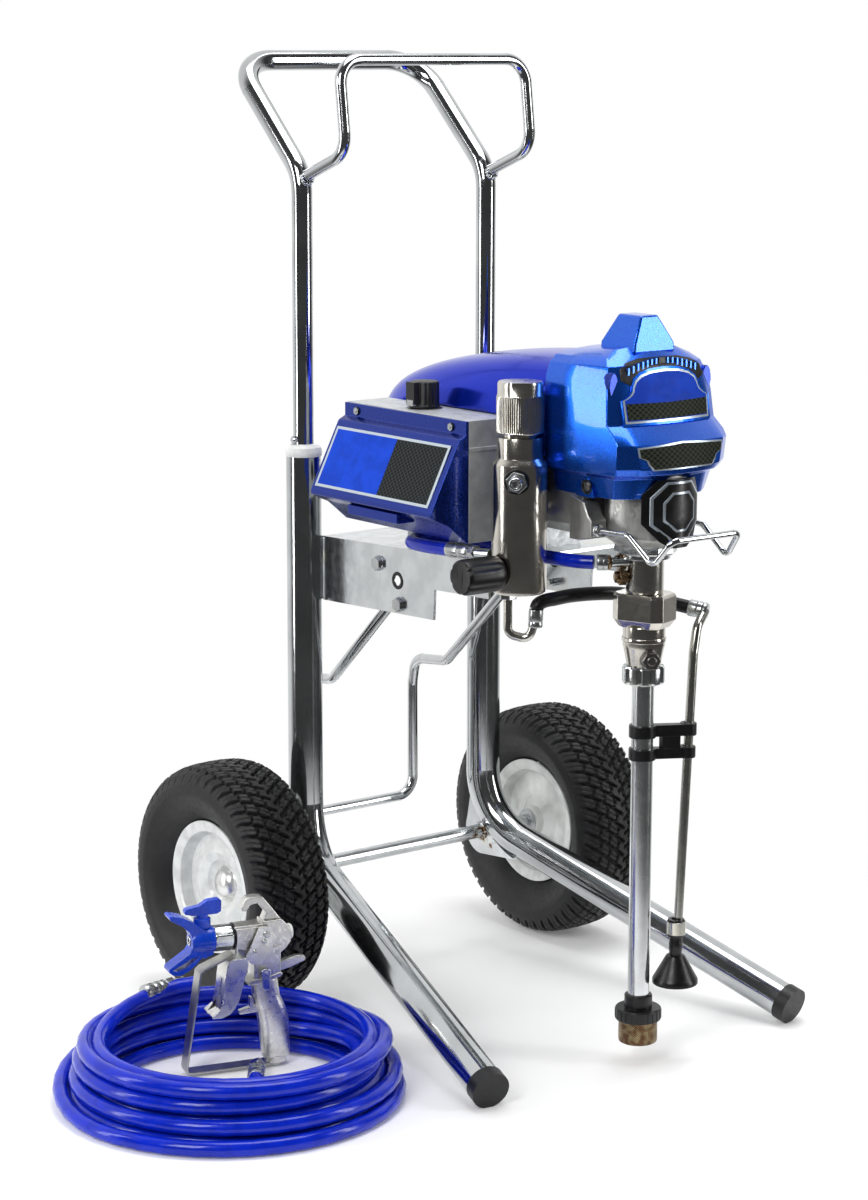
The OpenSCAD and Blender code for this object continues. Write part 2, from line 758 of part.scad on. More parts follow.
module filter_cap() {
    color("#b9b3a7") translate([man.x, man.y, 0]) {
        translate([0, 0, 632]) cylinder(h = 18, r = 16.9);
        difference() {
            translate([0, 0, 646]) cylinder(h = 55, r = 23.4);
            rotate([0, 0, 20]) for (s = [-1, 1])
                translate([s * 30 - 10, -30, 688]) cube([20, 60, 14]);
        }
    }
}

module filter_element() {
    color("#9aa36b") translate([man.x, man.y, 516]) difference() {
        cylinder(h = 112, r = 12);
        translate([0, 0, 4]) cylinder(h = 109, r = 8);
    }
}

module outlet_fitting() {
    color("#c6ccd0") translate([man.x, man.y, outlet_z]) rotate([0, 0, -135]) rotate([0, 90, 0])
        difference() {
            union() {
                translate([0, 0, 18]) cylinder(h = 10, r = 6.4);
                translate([0, 0, 27.8]) cylinder(h = 5, d = 22, $fn = 6);
                translate([0, 0, 32.7]) cylinder(h = 11, r = 6.6);
            }
            translate([0, 0, 10]) cylinder(h = 40, r = 3.2);
        }
}

module prime_valve() {
    color("#141414") translate([man.x, man.y, valve_z]) {
        cyl_x(-manifold_d / 2 - 47, -manifold_d / 2 - 0.8, 18);
        cyl_x(-manifold_d / 2 - 1, -13, 7);
    }
}

return_route = [[-112, -332, 484], [-112, -332, 448], [-97, -347, 443], [-92, -352, 466]];

module return_tube() {
    color("#b4b2a6") {
        bent_bar(return_route, 9, 9);
        translate([-112, -332, 484]) cylinder(h = 7, d = 17, $fn = 6);
        bar([-92.5, -351.5, 457], [-92, -352, 474], 14);
    }
}

module link_hose() {
    color("#1a3fd0") hose(link_route, 14);
    color("#c6ccd0") {
        bar([-128, -262, 525], [-126, -300, 527], 15);
        bar([-126, -299, 527], [-122.6, -317, 528], 9);
        bar([-49, -389, 522], [-36, -399, 522], 15);
        bar([-37, -398, 522], [-18.4, -405, 522], 9);
    }
}

// ---- spray gun ----

module gun() {
    translate(gun_at) rotate([0, 0, gun_turn]) children();
}

// A solid cut from a plate in the gun's own side view (along, up), centred on its middle plane
module gun_plate(outline, w) {
    translate([0, w / 2, 0]) rotate([90, 0, 0]) linear_extrude(w) polygon(outline);
}

gun_axis_z = 141;
trigger_pin = [-11, 144];
tip_x = -75;

module gun_body() {
    color("#b9babb") gun() difference() {
        union() {
            gun_plate([[-14, 12], [17, 12], [18, 30], [15, 52], [11, 66], [4, 84], [4, 116],
                [-24, 116], [-24, 84], [-19, 60]], gun_w);
            translate([1, 0, 4]) cylinder(h = 9, r = 11);
            cylinder(h = 5, r = 7);
            // upper body with the hook on top
            gun_plate([[-24, 114], [4, 114], [8, 127], [16, 131], [19, 148], [10, 151], [-14, 181],
                [-30, 180.5], [-35.5, 170.5], [-31, 167], [-26, 172.5], [-18, 174.5], [-9, 163.5],
                [-13, 153], [-44, 153], [-44, 129], [-30, 127]], gun_w - 4);
            gun_plate([[0, 100], [34, 109], [34, 114], [0, 112]], 8);
            gun_plate([[-30, 57], [-14, 57], [-14, 65], [-30, 63]], 8);
            cyl_x(-60, -43, 9, 0, gun_axis_z);
            for (s = [-1, 1]) cyl_y(s * 12.5 - 4, s * 12.5 + 4, 3, trigger_pin.x, trigger_pin.y);
        }
        cyl_x(-61, -20, 6, 0, gun_axis_z);
        cyl_x(-40, 22, 3 + run, 0, gun_axis_z);
        translate([0, 0, -1]) cylinder(h = 20, r = 4);
        cyl_y(-20, 0, 3 + run, -14, 104);
    }
}

module gun_needle() {
    color("#d0d0d0") gun() cyl_x(-58, 16, 3, 0, gun_axis_z);
}

module gun_trigger() {
    color("#c9cacc") gun() difference() {
        union() {
            for (s = [-1, 1]) translate([0, s * (gun_w / 2 + 2), 0])
                gun_plate([[-21, 150], [-8, 151], [-1, 137], [-15, 115], [-28, 114], [-34, 121]], 3);
            gun_plate([[-16, 127], [-28, 125], [-33, 116], [-46, 113.5], [-52, 108], [-56, 90],
                [-60, 69.5], [-68, 63.5], [-66, 60.5], [-49.5, 65.5], [-42, 77], [-37, 92.5],
                [-31, 112], [-16, 113]], gun_w + 7);
        }
        gun_plate([[-6, 132], [-31, 132], [-31, 112.5], [-45, 110.5], [-49, 106.5], [-53, 90],
            [-57, 71], [-62, 66.5], [-49, 60], [-6, 60]], gun_w + 1);
        cyl_y(-30, 30, 3 + run, trigger_pin.x, trigger_pin.y);
    }
}

module gun_guard() {
    color("#9a9a98") gun() difference() {
        bent_bar([[-40.5, 0, 137], [-40.5, 0, 121.5], [-79, 0, 110], [-95, 0, 7], [0, 0, 7]], 7, 7);
        translate([1, 0, -1]) cylinder(h = 20, r = 11);
        translate([-50, -10, 129]) cube([20, 20, 10]);
    }
}

module gun_lock() {
    color("#c9cacc") gun() {
        cyl_y(-gun_w / 2 - 6, -2, 3, -14, 104);
        translate([0, -gun_w / 2 - 5.5, 0]) gun_plate([[-19, 106], [-9, 106], [-10, 86], [-18, 86]], 3);
    }
}

module tip_guard() {
    color("#1648d8") gun() difference() {
        union() {
            translate([-66, 0, gun_axis_z]) rotate([0, 90, 0]) hex_z(0, 21.8, 27);
            cyl_x(-89, -65, 13, 0, gun_axis_z);
            for (s = [-1, 1]) gun_plate([for (p = [[-68, 8], [-88, 8], [-100, 17], [-113, 26],
                [-110, 30], [-97, 24], [-84, 16], [-68, 14]]) [p.x, gun_axis_z + s * p.y]], 20);
        }
        cyl_x(-61, -40, 9 + run, 0, gun_axis_z);
        cyl_x(-90, -60, 2, 0, gun_axis_z);
        translate([tip_x, 0, gun_axis_z - 16]) cylinder(h = 60, r = 6 + run);
    }
}

module spray_tip() {
    color("#1648d8") gun() difference() {
        union() {
            translate([tip_x, 0, gun_axis_z - 15.9]) cylinder(h = 43, r = 6);
            gun_plate([[-94, 168], [-94, 175], [-76, 178], [-70, 183], [-56, 183], [-56, 168]], 10);
        }
        cyl_x(-90, -60, 1, 0, gun_axis_z);
    }
}

// ---- fluid hose ----

module hose_coil() {
    color("#1638d0") translate([coil_c.x, coil_c.y, 0]) rotate_extrude($fn = 96)
        polygon([[114, 0], [coil_r, 0], [coil_r, hose_d + 1], [coil_r - 6, 2 * hose_d + 1],
            [coil_r - 14, coil_h], [114, coil_h]]);
}

module hose_lead() {
    color("#1638d0") hose(lead_route, hose_d - 0.2, 12);
}

module hose_couplings() {
    color("#c6ccd0") {
        bar([-352, -232, 8.4], [-334, -208, 8.4], 16);
        bar([-334.5, -208.5, 8.4], [-328, -200, 8.4], 12);
        bar([-400, -106, coil_h + 8.2], [-364, -102, coil_h + 8.2], 16);
        bar([-364.5, -102, coil_h + 8.2], [-352, -101, coil_h + 8.2], 12);
    }
}

// ---- the model ----

mirror([1, 0, 0]) side_tube();  // side_tube_left
side_tube();  // side_tube_right
leg_caps();
axle();
handle_bushes();
handle_tube();
handle_hoop();
snap_button(-1);  // snap_button_left
snap_button(1);  // snap_button_right
tyre(-wheel_x);  // tyre_left
tyre(wheel_x);  // tyre_right
rim(-wheel_x, -1);  // rim_left
rim(wheel_x, 1);  // rim_right
hub_caps();
motor_tray();
hose_rack();
screws();
motor_case();
motor_rotor();
motor_fan();
drive_housing();
drive_gear();
connecting_rod();
bearing_housing();
rear_shroud();
front_cover();
pin_guard();
pump_rod();
pump_cylinder();
pump_body();
pump_plug();
suction_nut();
suction_tube();
strainer();
drain_tube();
drain_deflector();
tube_clip();
drain_hose();
pail_hook();
control_box();
control_cover();
pressure_knob();
power_switch();
manifold_body();
filter_cap();
filter_element();
outlet_fitting();
prime_valve();
return_tube();
link_hose();
gun_body();
gun_trigger();
gun_guard();
gun_needle();
gun_lock();
tip_guard();
spray_tip();
hose_coil();
hose_lead();
hose_couplings();
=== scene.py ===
"""Looks of the airless paint sprayer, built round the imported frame.

Lengths are in millimetres until a piece is made.
"""

import math
import random

import bmesh
import bpy
from mathutils import Matrix, Vector


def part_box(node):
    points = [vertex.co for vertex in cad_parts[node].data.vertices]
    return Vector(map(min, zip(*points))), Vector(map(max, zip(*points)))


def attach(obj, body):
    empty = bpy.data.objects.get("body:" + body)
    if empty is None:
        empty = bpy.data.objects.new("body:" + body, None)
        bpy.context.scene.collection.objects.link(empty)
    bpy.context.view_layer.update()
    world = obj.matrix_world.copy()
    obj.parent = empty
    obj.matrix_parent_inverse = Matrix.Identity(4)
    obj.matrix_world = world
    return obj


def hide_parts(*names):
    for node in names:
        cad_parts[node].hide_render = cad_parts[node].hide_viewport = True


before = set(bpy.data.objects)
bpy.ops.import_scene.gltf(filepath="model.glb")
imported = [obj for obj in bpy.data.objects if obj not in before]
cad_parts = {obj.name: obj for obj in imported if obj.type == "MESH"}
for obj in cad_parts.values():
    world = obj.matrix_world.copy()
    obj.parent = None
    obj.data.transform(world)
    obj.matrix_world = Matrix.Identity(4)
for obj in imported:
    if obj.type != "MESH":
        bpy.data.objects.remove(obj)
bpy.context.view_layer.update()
MM = 0.001
RNG = random.Random(7)


# ---------------------------------------------------------------- measures taken from the frame

def box_mm(node):
    low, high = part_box(node)
    return [c / MM for c in low], [c / MM for c in high]


def middle(node):
    low, high = box_mm(node)
    return [(a + b) / 2 for a, b in zip(low, high)]


TYRE_LOW, TYRE_HIGH = box_mm("tyre_right")
WHEEL_X = (TYRE_LOW[0] + TYRE_HIGH[0]) / 2
AXLE_Z = (TYRE_LOW[2] + TYRE_HIGH[2]) / 2
UPRIGHT_X = 124.6
PUMP = middle("suction_tube")[:2]
MANIFOLD = middle("filter_element")[:2]
COIL = middle("hose_coil")[:2]
COIL_TOP = box_mm("hose_coil")[1][2]
KNOB = [-102, -183, 659]
GUN_AT = [-302, -192, 0]
GUN_TURN = math.radians(-16)
HOSE_R = 8


# ---------------------------------------------------------------- materials

class Mat:
    """A Principled material with helpers that add procedural detail in object space."""

    def __init__(self, name, color, metallic=0.0, rough=0.5, coat=0.0, coat_rough=0.05, specular=0.5):
        self.mat = bpy.data.materials.new(name)
        self.mat.use_nodes = True
        self.nodes = self.mat.node_tree.nodes
        self.links = self.mat.node_tree.links
        self.shader = self.nodes["Principled BSDF"]
        self.set("Base Color", (*color, 1))
        self.set("Metallic", metallic)
        self.set("Roughness", rough)
        self.set("Coat Weight", coat)
        self.set("Coat Roughness", coat_rough)
        self.set("Specular IOR Level", specular)
        self.rough = rough
        self.color = color
        self.coord = self.add("ShaderNodeTexCoord").outputs["Object"]
        self.height = None

    def set(self, socket, value):
        self.shader.inputs[socket].default_value = value

    def add(self, kind, **values):
        node = self.nodes.new(kind)
        for key, value in values.items():
            setattr(node, key, value)
        return node

    def join(self, a, b):
        self.links.new(a, b)

    def scaled(self, scale):
        mapping = self.add("ShaderNodeMapping")
        mapping.inputs["Scale"].default_value = scale
        self.join(self.coord, mapping.inputs["Vector"])
        return mapping.outputs["Vector"]

    def noise(self, size, detail=3.0, stretch=(1, 1, 1)):
        """Noise whose grains are about size millimetres across."""
        k = 1 / (size * MM)
        node = self.add("ShaderNodeTexNoise")
        node.inputs["Scale"].default_value = 1.0
        node.inputs["Detail"].default_value = detail
        self.join(self.scaled([k * s for s in stretch]), node.inputs["Vector"])
        return node.outputs["Fac"]

    def ramp(self, value, low, high, out_low=0.0, out_high=1.0):
        node = self.add("ShaderNodeMapRange", interpolation_type="SMOOTHSTEP")
        for key, number in (("From Min", low), ("From Max", high), ("To Min", out_low), ("To Max",
                out_high)):
            node.inputs[key].default_value = number
        self.join(value, node.inputs["Value"])
        return node.outputs["Result"]

    def math(self, operation, a, b=None):
        node = self.add("ShaderNodeMath", operation=operation)
        for slot, value in zip(node.inputs, (a, b)):
            if value is None:
                continue
            if isinstance(value, (int, float)):
                slot.default_value = value
            else:
                self.join(value, slot)
        return node.outputs["Value"]

    def axes(self):
        node = self.add("ShaderNodeSeparateXYZ")
        self.join(self.coord, node.inputs["Vector"])
        return node.outputs

    def mix_color(self, fac, a, b):
        node = self.add("ShaderNodeMix", data_type="RGBA")
        self.join(fac, node.inputs["Factor"])
        for slot, value in ((node.inputs[6], a), (node.inputs[7], b)):
            if isinstance(value, tuple):
                slot.default_value = (*value, 1)
            else:
                self.join(value, slot)
        return node.outputs[2]

    def vary_color(self, fac, other, low=0.35, high=0.65):
        """Mixes the base colour with another one where the noise is high."""
        now = self.shader.inputs["Base Color"]
        base = now.links[0].from_socket if now.links else self.color
        self.join(self.mix_color(self.ramp(fac, low, high), base, other), now)
        return self

    def vary_rough(self, fac, spread, low=0.3, high=0.7):
        lowest = max(0.02, self.rough - spread)
        highest = min(1.0, self.rough + spread)
        self.join(self.ramp(fac, low, high, lowest, highest), self.shader.inputs["Roughness"])
        return self

    def bump(self, fac, depth, strength=1.0):
        """Adds relief of about depth millimetres."""
        node = self.add("ShaderNodeBump")
        node.inputs["Distance"].default_value = depth * MM
        node.inputs["Strength"].default_value = strength
        self.join(fac, node.inputs["Height"])
        if self.height is not None:
            self.join(self.height, node.inputs["Normal"])
        self.height = node.outputs["Normal"]
        self.join(self.height, self.shader.inputs["Normal"])
        return self

    def wear_and_edge_highlight(self, color, amount=0.5, radius=1.2):
        """Lightens or darkens the edges: real wear on castings and plastics, and a painted highlight where
        the blue lacquer's edges take its light colour.
        """
        bevel = self.add("ShaderNodeBevel", samples=4)
        bevel.inputs["Radius"].default_value = radius * MM
        geometry = self.add("ShaderNodeNewGeometry")
        dot = self.add("ShaderNodeVectorMath", operation="DOT_PRODUCT")
        self.join(bevel.outputs["Normal"], dot.inputs[0])
        self.join(geometry.outputs["Normal"], dot.inputs[1])
        edge = self.ramp(dot.outputs["Value"], 0.98, 0.8, 0.0, amount)
        now = self.shader.inputs["Base Color"]
        base = now.links[0].from_socket if now.links else self.color
        self.join(self.mix_color(edge, base, color), now)
        return self


def plated_tube(name, color, rough=0.16, grain=(6, 6, 0.15)):
    m = Mat(name, color, metallic=1.0, rough=rough)
    streak = m.noise(1.5, 4, grain)
    m.vary_rough(streak, 0.05)
    m.vary_color(m.noise(60, 3), tuple(c * 0.82 for c in color))
    m.bump(m.noise(0.6, 3, grain), 0.004)
    return m


def zinc_plate(name, color=(0.68, 0.71, 0.72), rough=0.22):
    m = Mat(name, color, metallic=1.0, rough=rough)
    m.vary_color(m.noise(28, 3), tuple(c * 0.86 for c in color))
    m.vary_color(m.noise(45, 2), (0.70, 0.69, 0.60), 0.58, 0.8)
    m.vary_rough(m.noise(9, 3), 0.05)
    m.bump(m.noise(2.5, 2), 0.004)
    return m


def cast_metal(name, color, rough=0.45, grain=0.9, depth=0.06, metallic=0.85, relief=0.12, worn=0.5):
    m = Mat(name, color, metallic=metallic, rough=rough)
    m.vary_color(m.noise(14, 4), tuple(c * 0.8 for c in color))
    m.vary_rough(m.noise(3, 4), 0.08)
    m.bump(m.noise(grain, 4), depth)
    m.bump(m.noise(12, 2), relief)
    if worn:
        m.wear_and_edge_highlight(tuple(min(1, c * 1.35) for c in color), worn)
    return m


def turned_metal(name, color, rough=0.2):
    """Machined metal with fine turning rings along Z."""
    m = Mat(name, color, metallic=1.0, rough=rough)
    m.vary_rough(m.noise(0.9, 3, (0.2, 0.2, 3)), 0.06)
    m.vary_color(m.noise(30, 3), tuple(c * 0.85 for c in color))
    m.bump(m.noise(0.5, 2, (0.15, 0.15, 4)), 0.006)
    return m


def moulded(name, color, rough=0.45, grain=0.5, depth=0.02, coat=0.0, specular=0.4):
    m = Mat(name, color, rough=rough, coat=coat, specular=specular)
    m.vary_color(m.noise(18, 3), tuple(min(1, c * 1.25 + 0.001) for c in color))
    m.vary_rough(m.noise(5, 4), 0.05)
    m.bump(m.noise(grain, 3), depth)
    m.wear_and_edge_highlight(tuple(min(1, c * 1.5 + 0.006) for c in color), 0.35)
    return m


def metallic_blue(name, deep, light, rough=0.3, metallic=0.85, coat=0.6):
    """Blue lacquer with a fine metallic flake under a clear coat, and a painted highlight of the light
    colour along its edges.
    """
    m = Mat(name, deep, metallic=metallic, rough=rough, coat=coat, coat_rough=0.04)
    m.vary_color(m.noise(0.5, 2), light, 0.45, 0.75)
    m.vary_rough(m.noise(0.8, 2), 0.05)
    m.bump(m.noise(0.9, 2), 0.002)
    m.bump(m.noise(40, 2), 0.06)
    # painted highlight: the rounded edges take the light colour
    m.wear_and_edge_highlight(light, 0.6, 1.6)
    return m


def carbon_weave(name, along, up, thread=(0.10, 0.12, 0.06), cell=3.4):
    """A printed dark crosshatch; along and up are the object axes of the label's plane."""
    m = Mat(name, (0.006, 0.008, 0.008), rough=0.5, specular=0.1)
    xyz = m.axes()
    scale = 1 / (cell * MM)
    across = m.math("MULTIPLY", xyz[along], scale)
    rise = m.math("MULTIPLY", xyz[up], scale * 1.3)
    lines = None
    for sign in ("ADD", "SUBTRACT"):
        wave = m.math("ABSOLUTE", m.math("SINE", m.math("MULTIPLY", m.math(sign, across, rise),
                                                        math.pi / 2)))
        line = m.ramp(wave, 0.22, 0.05)
        lines = line if lines is None else m.math("MAXIMUM", lines, line)
    m.join(m.mix_color(lines, (0.006, 0.008, 0.008), thread), m.shader.inputs["Base Color"])
    m.bump(lines, 0.02)
    return m


M_TUBE = plated_tube("plated tube", (0.56, 0.58, 0.59), 0.10)
M_HANDLE = plated_tube("bright handle tube", (0.58, 0.60, 0.61), 0.09)
M_ROD = plated_tube("bright rod", (0.66, 0.68, 0.69), 0.12, (2, 2, 2))
M_ZINC = zinc_plate("white zinc")
M_ZINC_DARK = zinc_plate("zinc fittings", (0.50, 0.52, 0.52), 0.26)
M_CAST = cast_metal("cast aluminium", (0.50, 0.50, 0.48), 0.42)
M_CAST_GREY = cast_metal("painted casting", (0.56, 0.58, 0.59), 0.42, 0.7, 0.02, 0.45, 0.04)
M_NICKEL = turned_metal("nickel plate", (0.68, 0.65, 0.59), 0.17)
M_STAINLESS = turned_metal("stainless steel", (0.62, 0.61, 0.56), 0.2)
M_SUCTION = turned_metal("drawn aluminium", (0.74, 0.76, 0.77), 0.2)
M_STEEL = turned_metal("plain steel", (0.26, 0.25, 0.24), 0.32)
M_BRONZE = turned_metal("bronze fitting", (0.24, 0.16, 0.09), 0.25)
M_BLACK = moulded("black plastic", (0.004, 0.004, 0.0045), 0.33)
M_BLACK_SATIN = moulded("black satin plastic", (0.007, 0.007, 0.008), 0.42, 0.4, 0.02)
M_WHITE = moulded("white nylon", (0.70, 0.71, 0.70), 0.4)
M_RIM = moulded("white rim paint", (0.66, 0.68, 0.66), 0.22, 4.0, 0.01, 0.4)
M_HOSE = moulded("blue hose jacket", (0.001, 0.016, 0.42), 0.2, 5.0, 0.01, 0.12, 0.3)
M_RUBBER_HOSE = moulded("black hose", (0.005, 0.005, 0.006), 0.4, 1.5, 0.02)
M_COVER = metallic_blue("cover blue", (0.004, 0.085, 0.62), (0.012, 0.21, 0.90), 0.26)
M_SHROUD = metallic_blue("shroud blue", (0.002, 0.018, 0.46), (0.003, 0.045, 0.64), 0.2, 0.75, 0.12)
M_PANEL = metallic_blue("panel blue", (0.003, 0.020, 0.24), (0.006, 0.05, 0.38), 0.26, 0.8, 0.25)
M_LABEL_BLUE = moulded("label blue", (0.001, 0.045, 0.48), 0.5, 0.4, 0.002, 0.0, 0.12)
M_LABEL_EDGE = Mat("label silver edge", (0.55, 0.62, 0.68), metallic=0.7, rough=0.28)
M_LABEL_EDGE.bump(M_LABEL_EDGE.noise(0.5, 2), 0.004)
M_WEAVE_FRONT = carbon_weave("front label weave", "X", "Z")
M_WEAVE_SIDE = carbon_weave("side label weave", "Y", "Z", (0.07, 0.08, 0.085), 3.0)
M_TIP = moulded("tip blue", (0.003, 0.045, 0.48), 0.28, 0.8, 0.01, 0.3)
M_GUN = cast_metal("gun casting", (0.76, 0.75, 0.72), 0.34, 0.8, 0.003, 1.0, 0.006, 0)
M_TRIGGER = zinc_plate("gun plated steel", (0.80, 0.80, 0.79), 0.3)
M_STRAP = zinc_plate("gun guard strap", (0.46, 0.46, 0.45), 0.36)
M_WASHER = zinc_plate("yellow passivated zinc", (0.60, 0.58, 0.36), 0.3)
M_TYRE = moulded("tyre rubber", (0.005, 0.005, 0.0055), 0.5, 0.7, 0.03)


def burnt_zinc():
    """Plated bar and plate with brown heat marks beside the welds at both side tubes."""
    m = zinc_plate("welded zinc", (0.62, 0.64, 0.65))
    reach = m.math("ABSOLUTE", m.axes()["X"])
    inner = m.ramp(reach, (UPRIGHT_X - 26) * MM, (UPRIGHT_X - 12) * MM)
    outer = m.ramp(reach, (UPRIGHT_X + 8) * MM, (UPRIGHT_X + 2) * MM)
    xyz = m.axes()
    dy, dz = m.math("SUBTRACT", xyz["Y"], middle("axle")[1] * MM), m.math("SUBTRACT", xyz["Z"], AXLE_Z * MM)
    away = m.math("SQRT", m.math("ADD", m.math("MULTIPLY", dy, dy), m.math("MULTIPLY", dz, dz)))
    near = m.ramp(away, 22 * MM, 12 * MM)
    heat = m.math("MULTIPLY", m.math("MULTIPLY", inner, outer), m.ramp(m.noise(9, 4), 0.42, 0.62))
    heat = m.math("MULTIPLY", heat, near)
    m.vary_color(heat, (0.17, 0.10, 0.05), 0.1, 0.7)
    m.bump(m.math("MULTIPLY", heat, m.noise(2.5, 3)), 0.2)
    return m


def mesh_cup():
    """A woven brass strainer mesh; its openings are painted near black as painted shade."""
    m = Mat("brass strainer", (0.55, 0.40, 0.17), metallic=1.0, rough=0.3)
    xyz = m.axes()
    across = m.math("SUBTRACT", xyz["X"], PUMP[0] * MM)
    away = m.math("SUBTRACT", xyz["Y"], PUMP[1] * MM)
    around = m.math("MULTIPLY", m.math("ARCTAN2", away, across), 20 / 2.4 * math.pi)
    rise = m.math("MULTIPLY", xyz["Z"], math.pi / (2.4 * MM))
    one = m.math("ABSOLUTE", m.math("SINE", m.math("ADD", around, rise)))
    two = m.math("ABSOLUTE", m.math("SINE", m.math("SUBTRACT", around, rise)))
    wires = m.math("MAXIMUM", m.ramp(one, 0.45, 0.2), m.ramp(two, 0.45, 0.2))
    stain = m.mix_color(m.ramp(m.noise(7, 3), 0.4, 0.6), (0.72, 0.56, 0.30), (0.34, 0.17, 0.09))
    # painted shade: the openings between the wires are near black
    m.join(m.mix_color(wires, (0.012, 0.008, 0.006), stain), m.shader.inputs["Base Color"])
    m.bump(wires, 0.5)
    return m


M_WELDED = burnt_zinc()
M_MESH = mesh_cup()


# ---------------------------------------------------------------- mesh building

def unit(v):
    return Vector(v).normalized()


def toward(origin, direction, roll=0.0):
    """A matrix that puts local Z along direction, at origin."""
    turn = Vector((0, 0, 1)).rotation_difference(unit(direction)).to_matrix().to_4x4()
    return Matrix.Translation(Vector(origin)) @ turn @ Matrix.Rotation(roll, 4, "Z")


def along_axis(axis, origin=(0, 0, 0), roll=0.0):
    return toward(origin, {"x": (1, 0, 0), "y": (0, 1, 0), "z": (0, 0, 1), "-x": (-1, 0, 0), "-y": (0, -1,
            0)}[axis], roll)


def rounded_path(points, radius, step=8.0):
    """The points of a bent rod: straights joined by arcs of one radius."""
    pts = [Vector(p) for p in points]
    out = [pts[0]]
    for a, b, c in zip(pts, pts[1:], pts[2:]):
        u, v = (b - a).normalized(), (c - b).normalized()
        turn = u.angle(v)
        if turn < 1e-4:
            continue
        cut = radius * math.tan(turn / 2)
        centre = b + (v - u).normalized() * radius / math.cos(turn / 2)
        start = b - u * cut
        axis = u.cross(v).normalized()
        count = max(3, round(turn * 180 / math.pi / step))
        for i in range(count + 1):
            spin = Matrix.Rotation(turn * i / count, 3, axis)
            out.append(centre + spin @ (start - centre))
    out.append(pts[-1])
    return out


def smooth_path(points, count):
    """A Catmull-Rom curve through given points, count pieces to each stretch."""
    pts = [Vector(p) for p in points]
    ends = [2 * pts[0] - pts[1], *pts, 2 * pts[-1] - pts[-2]]
    out = []
    for p0, p1, p2, p3 in zip(ends, ends[1:], ends[2:], ends[3:]):
        for i in range(count):
            t = i / count
            out.append(0.5 * (2 * p1 + (p2 - p0) * t + (2 * p0 - 5 * p1 + 4 * p2 - p3) * t ** 2
                              + (3 * p1 - p0 - 3 * p2 + p3) * t ** 3))
    out.append(pts[-1])
    return out


def face_outward(mesh):
    shape = bmesh.new()
    shape.from_mesh(mesh)
    bmesh.ops.recalc_face_normals(shape, faces=shape.faces)
    shape.to_mesh(mesh)
    shape.free()


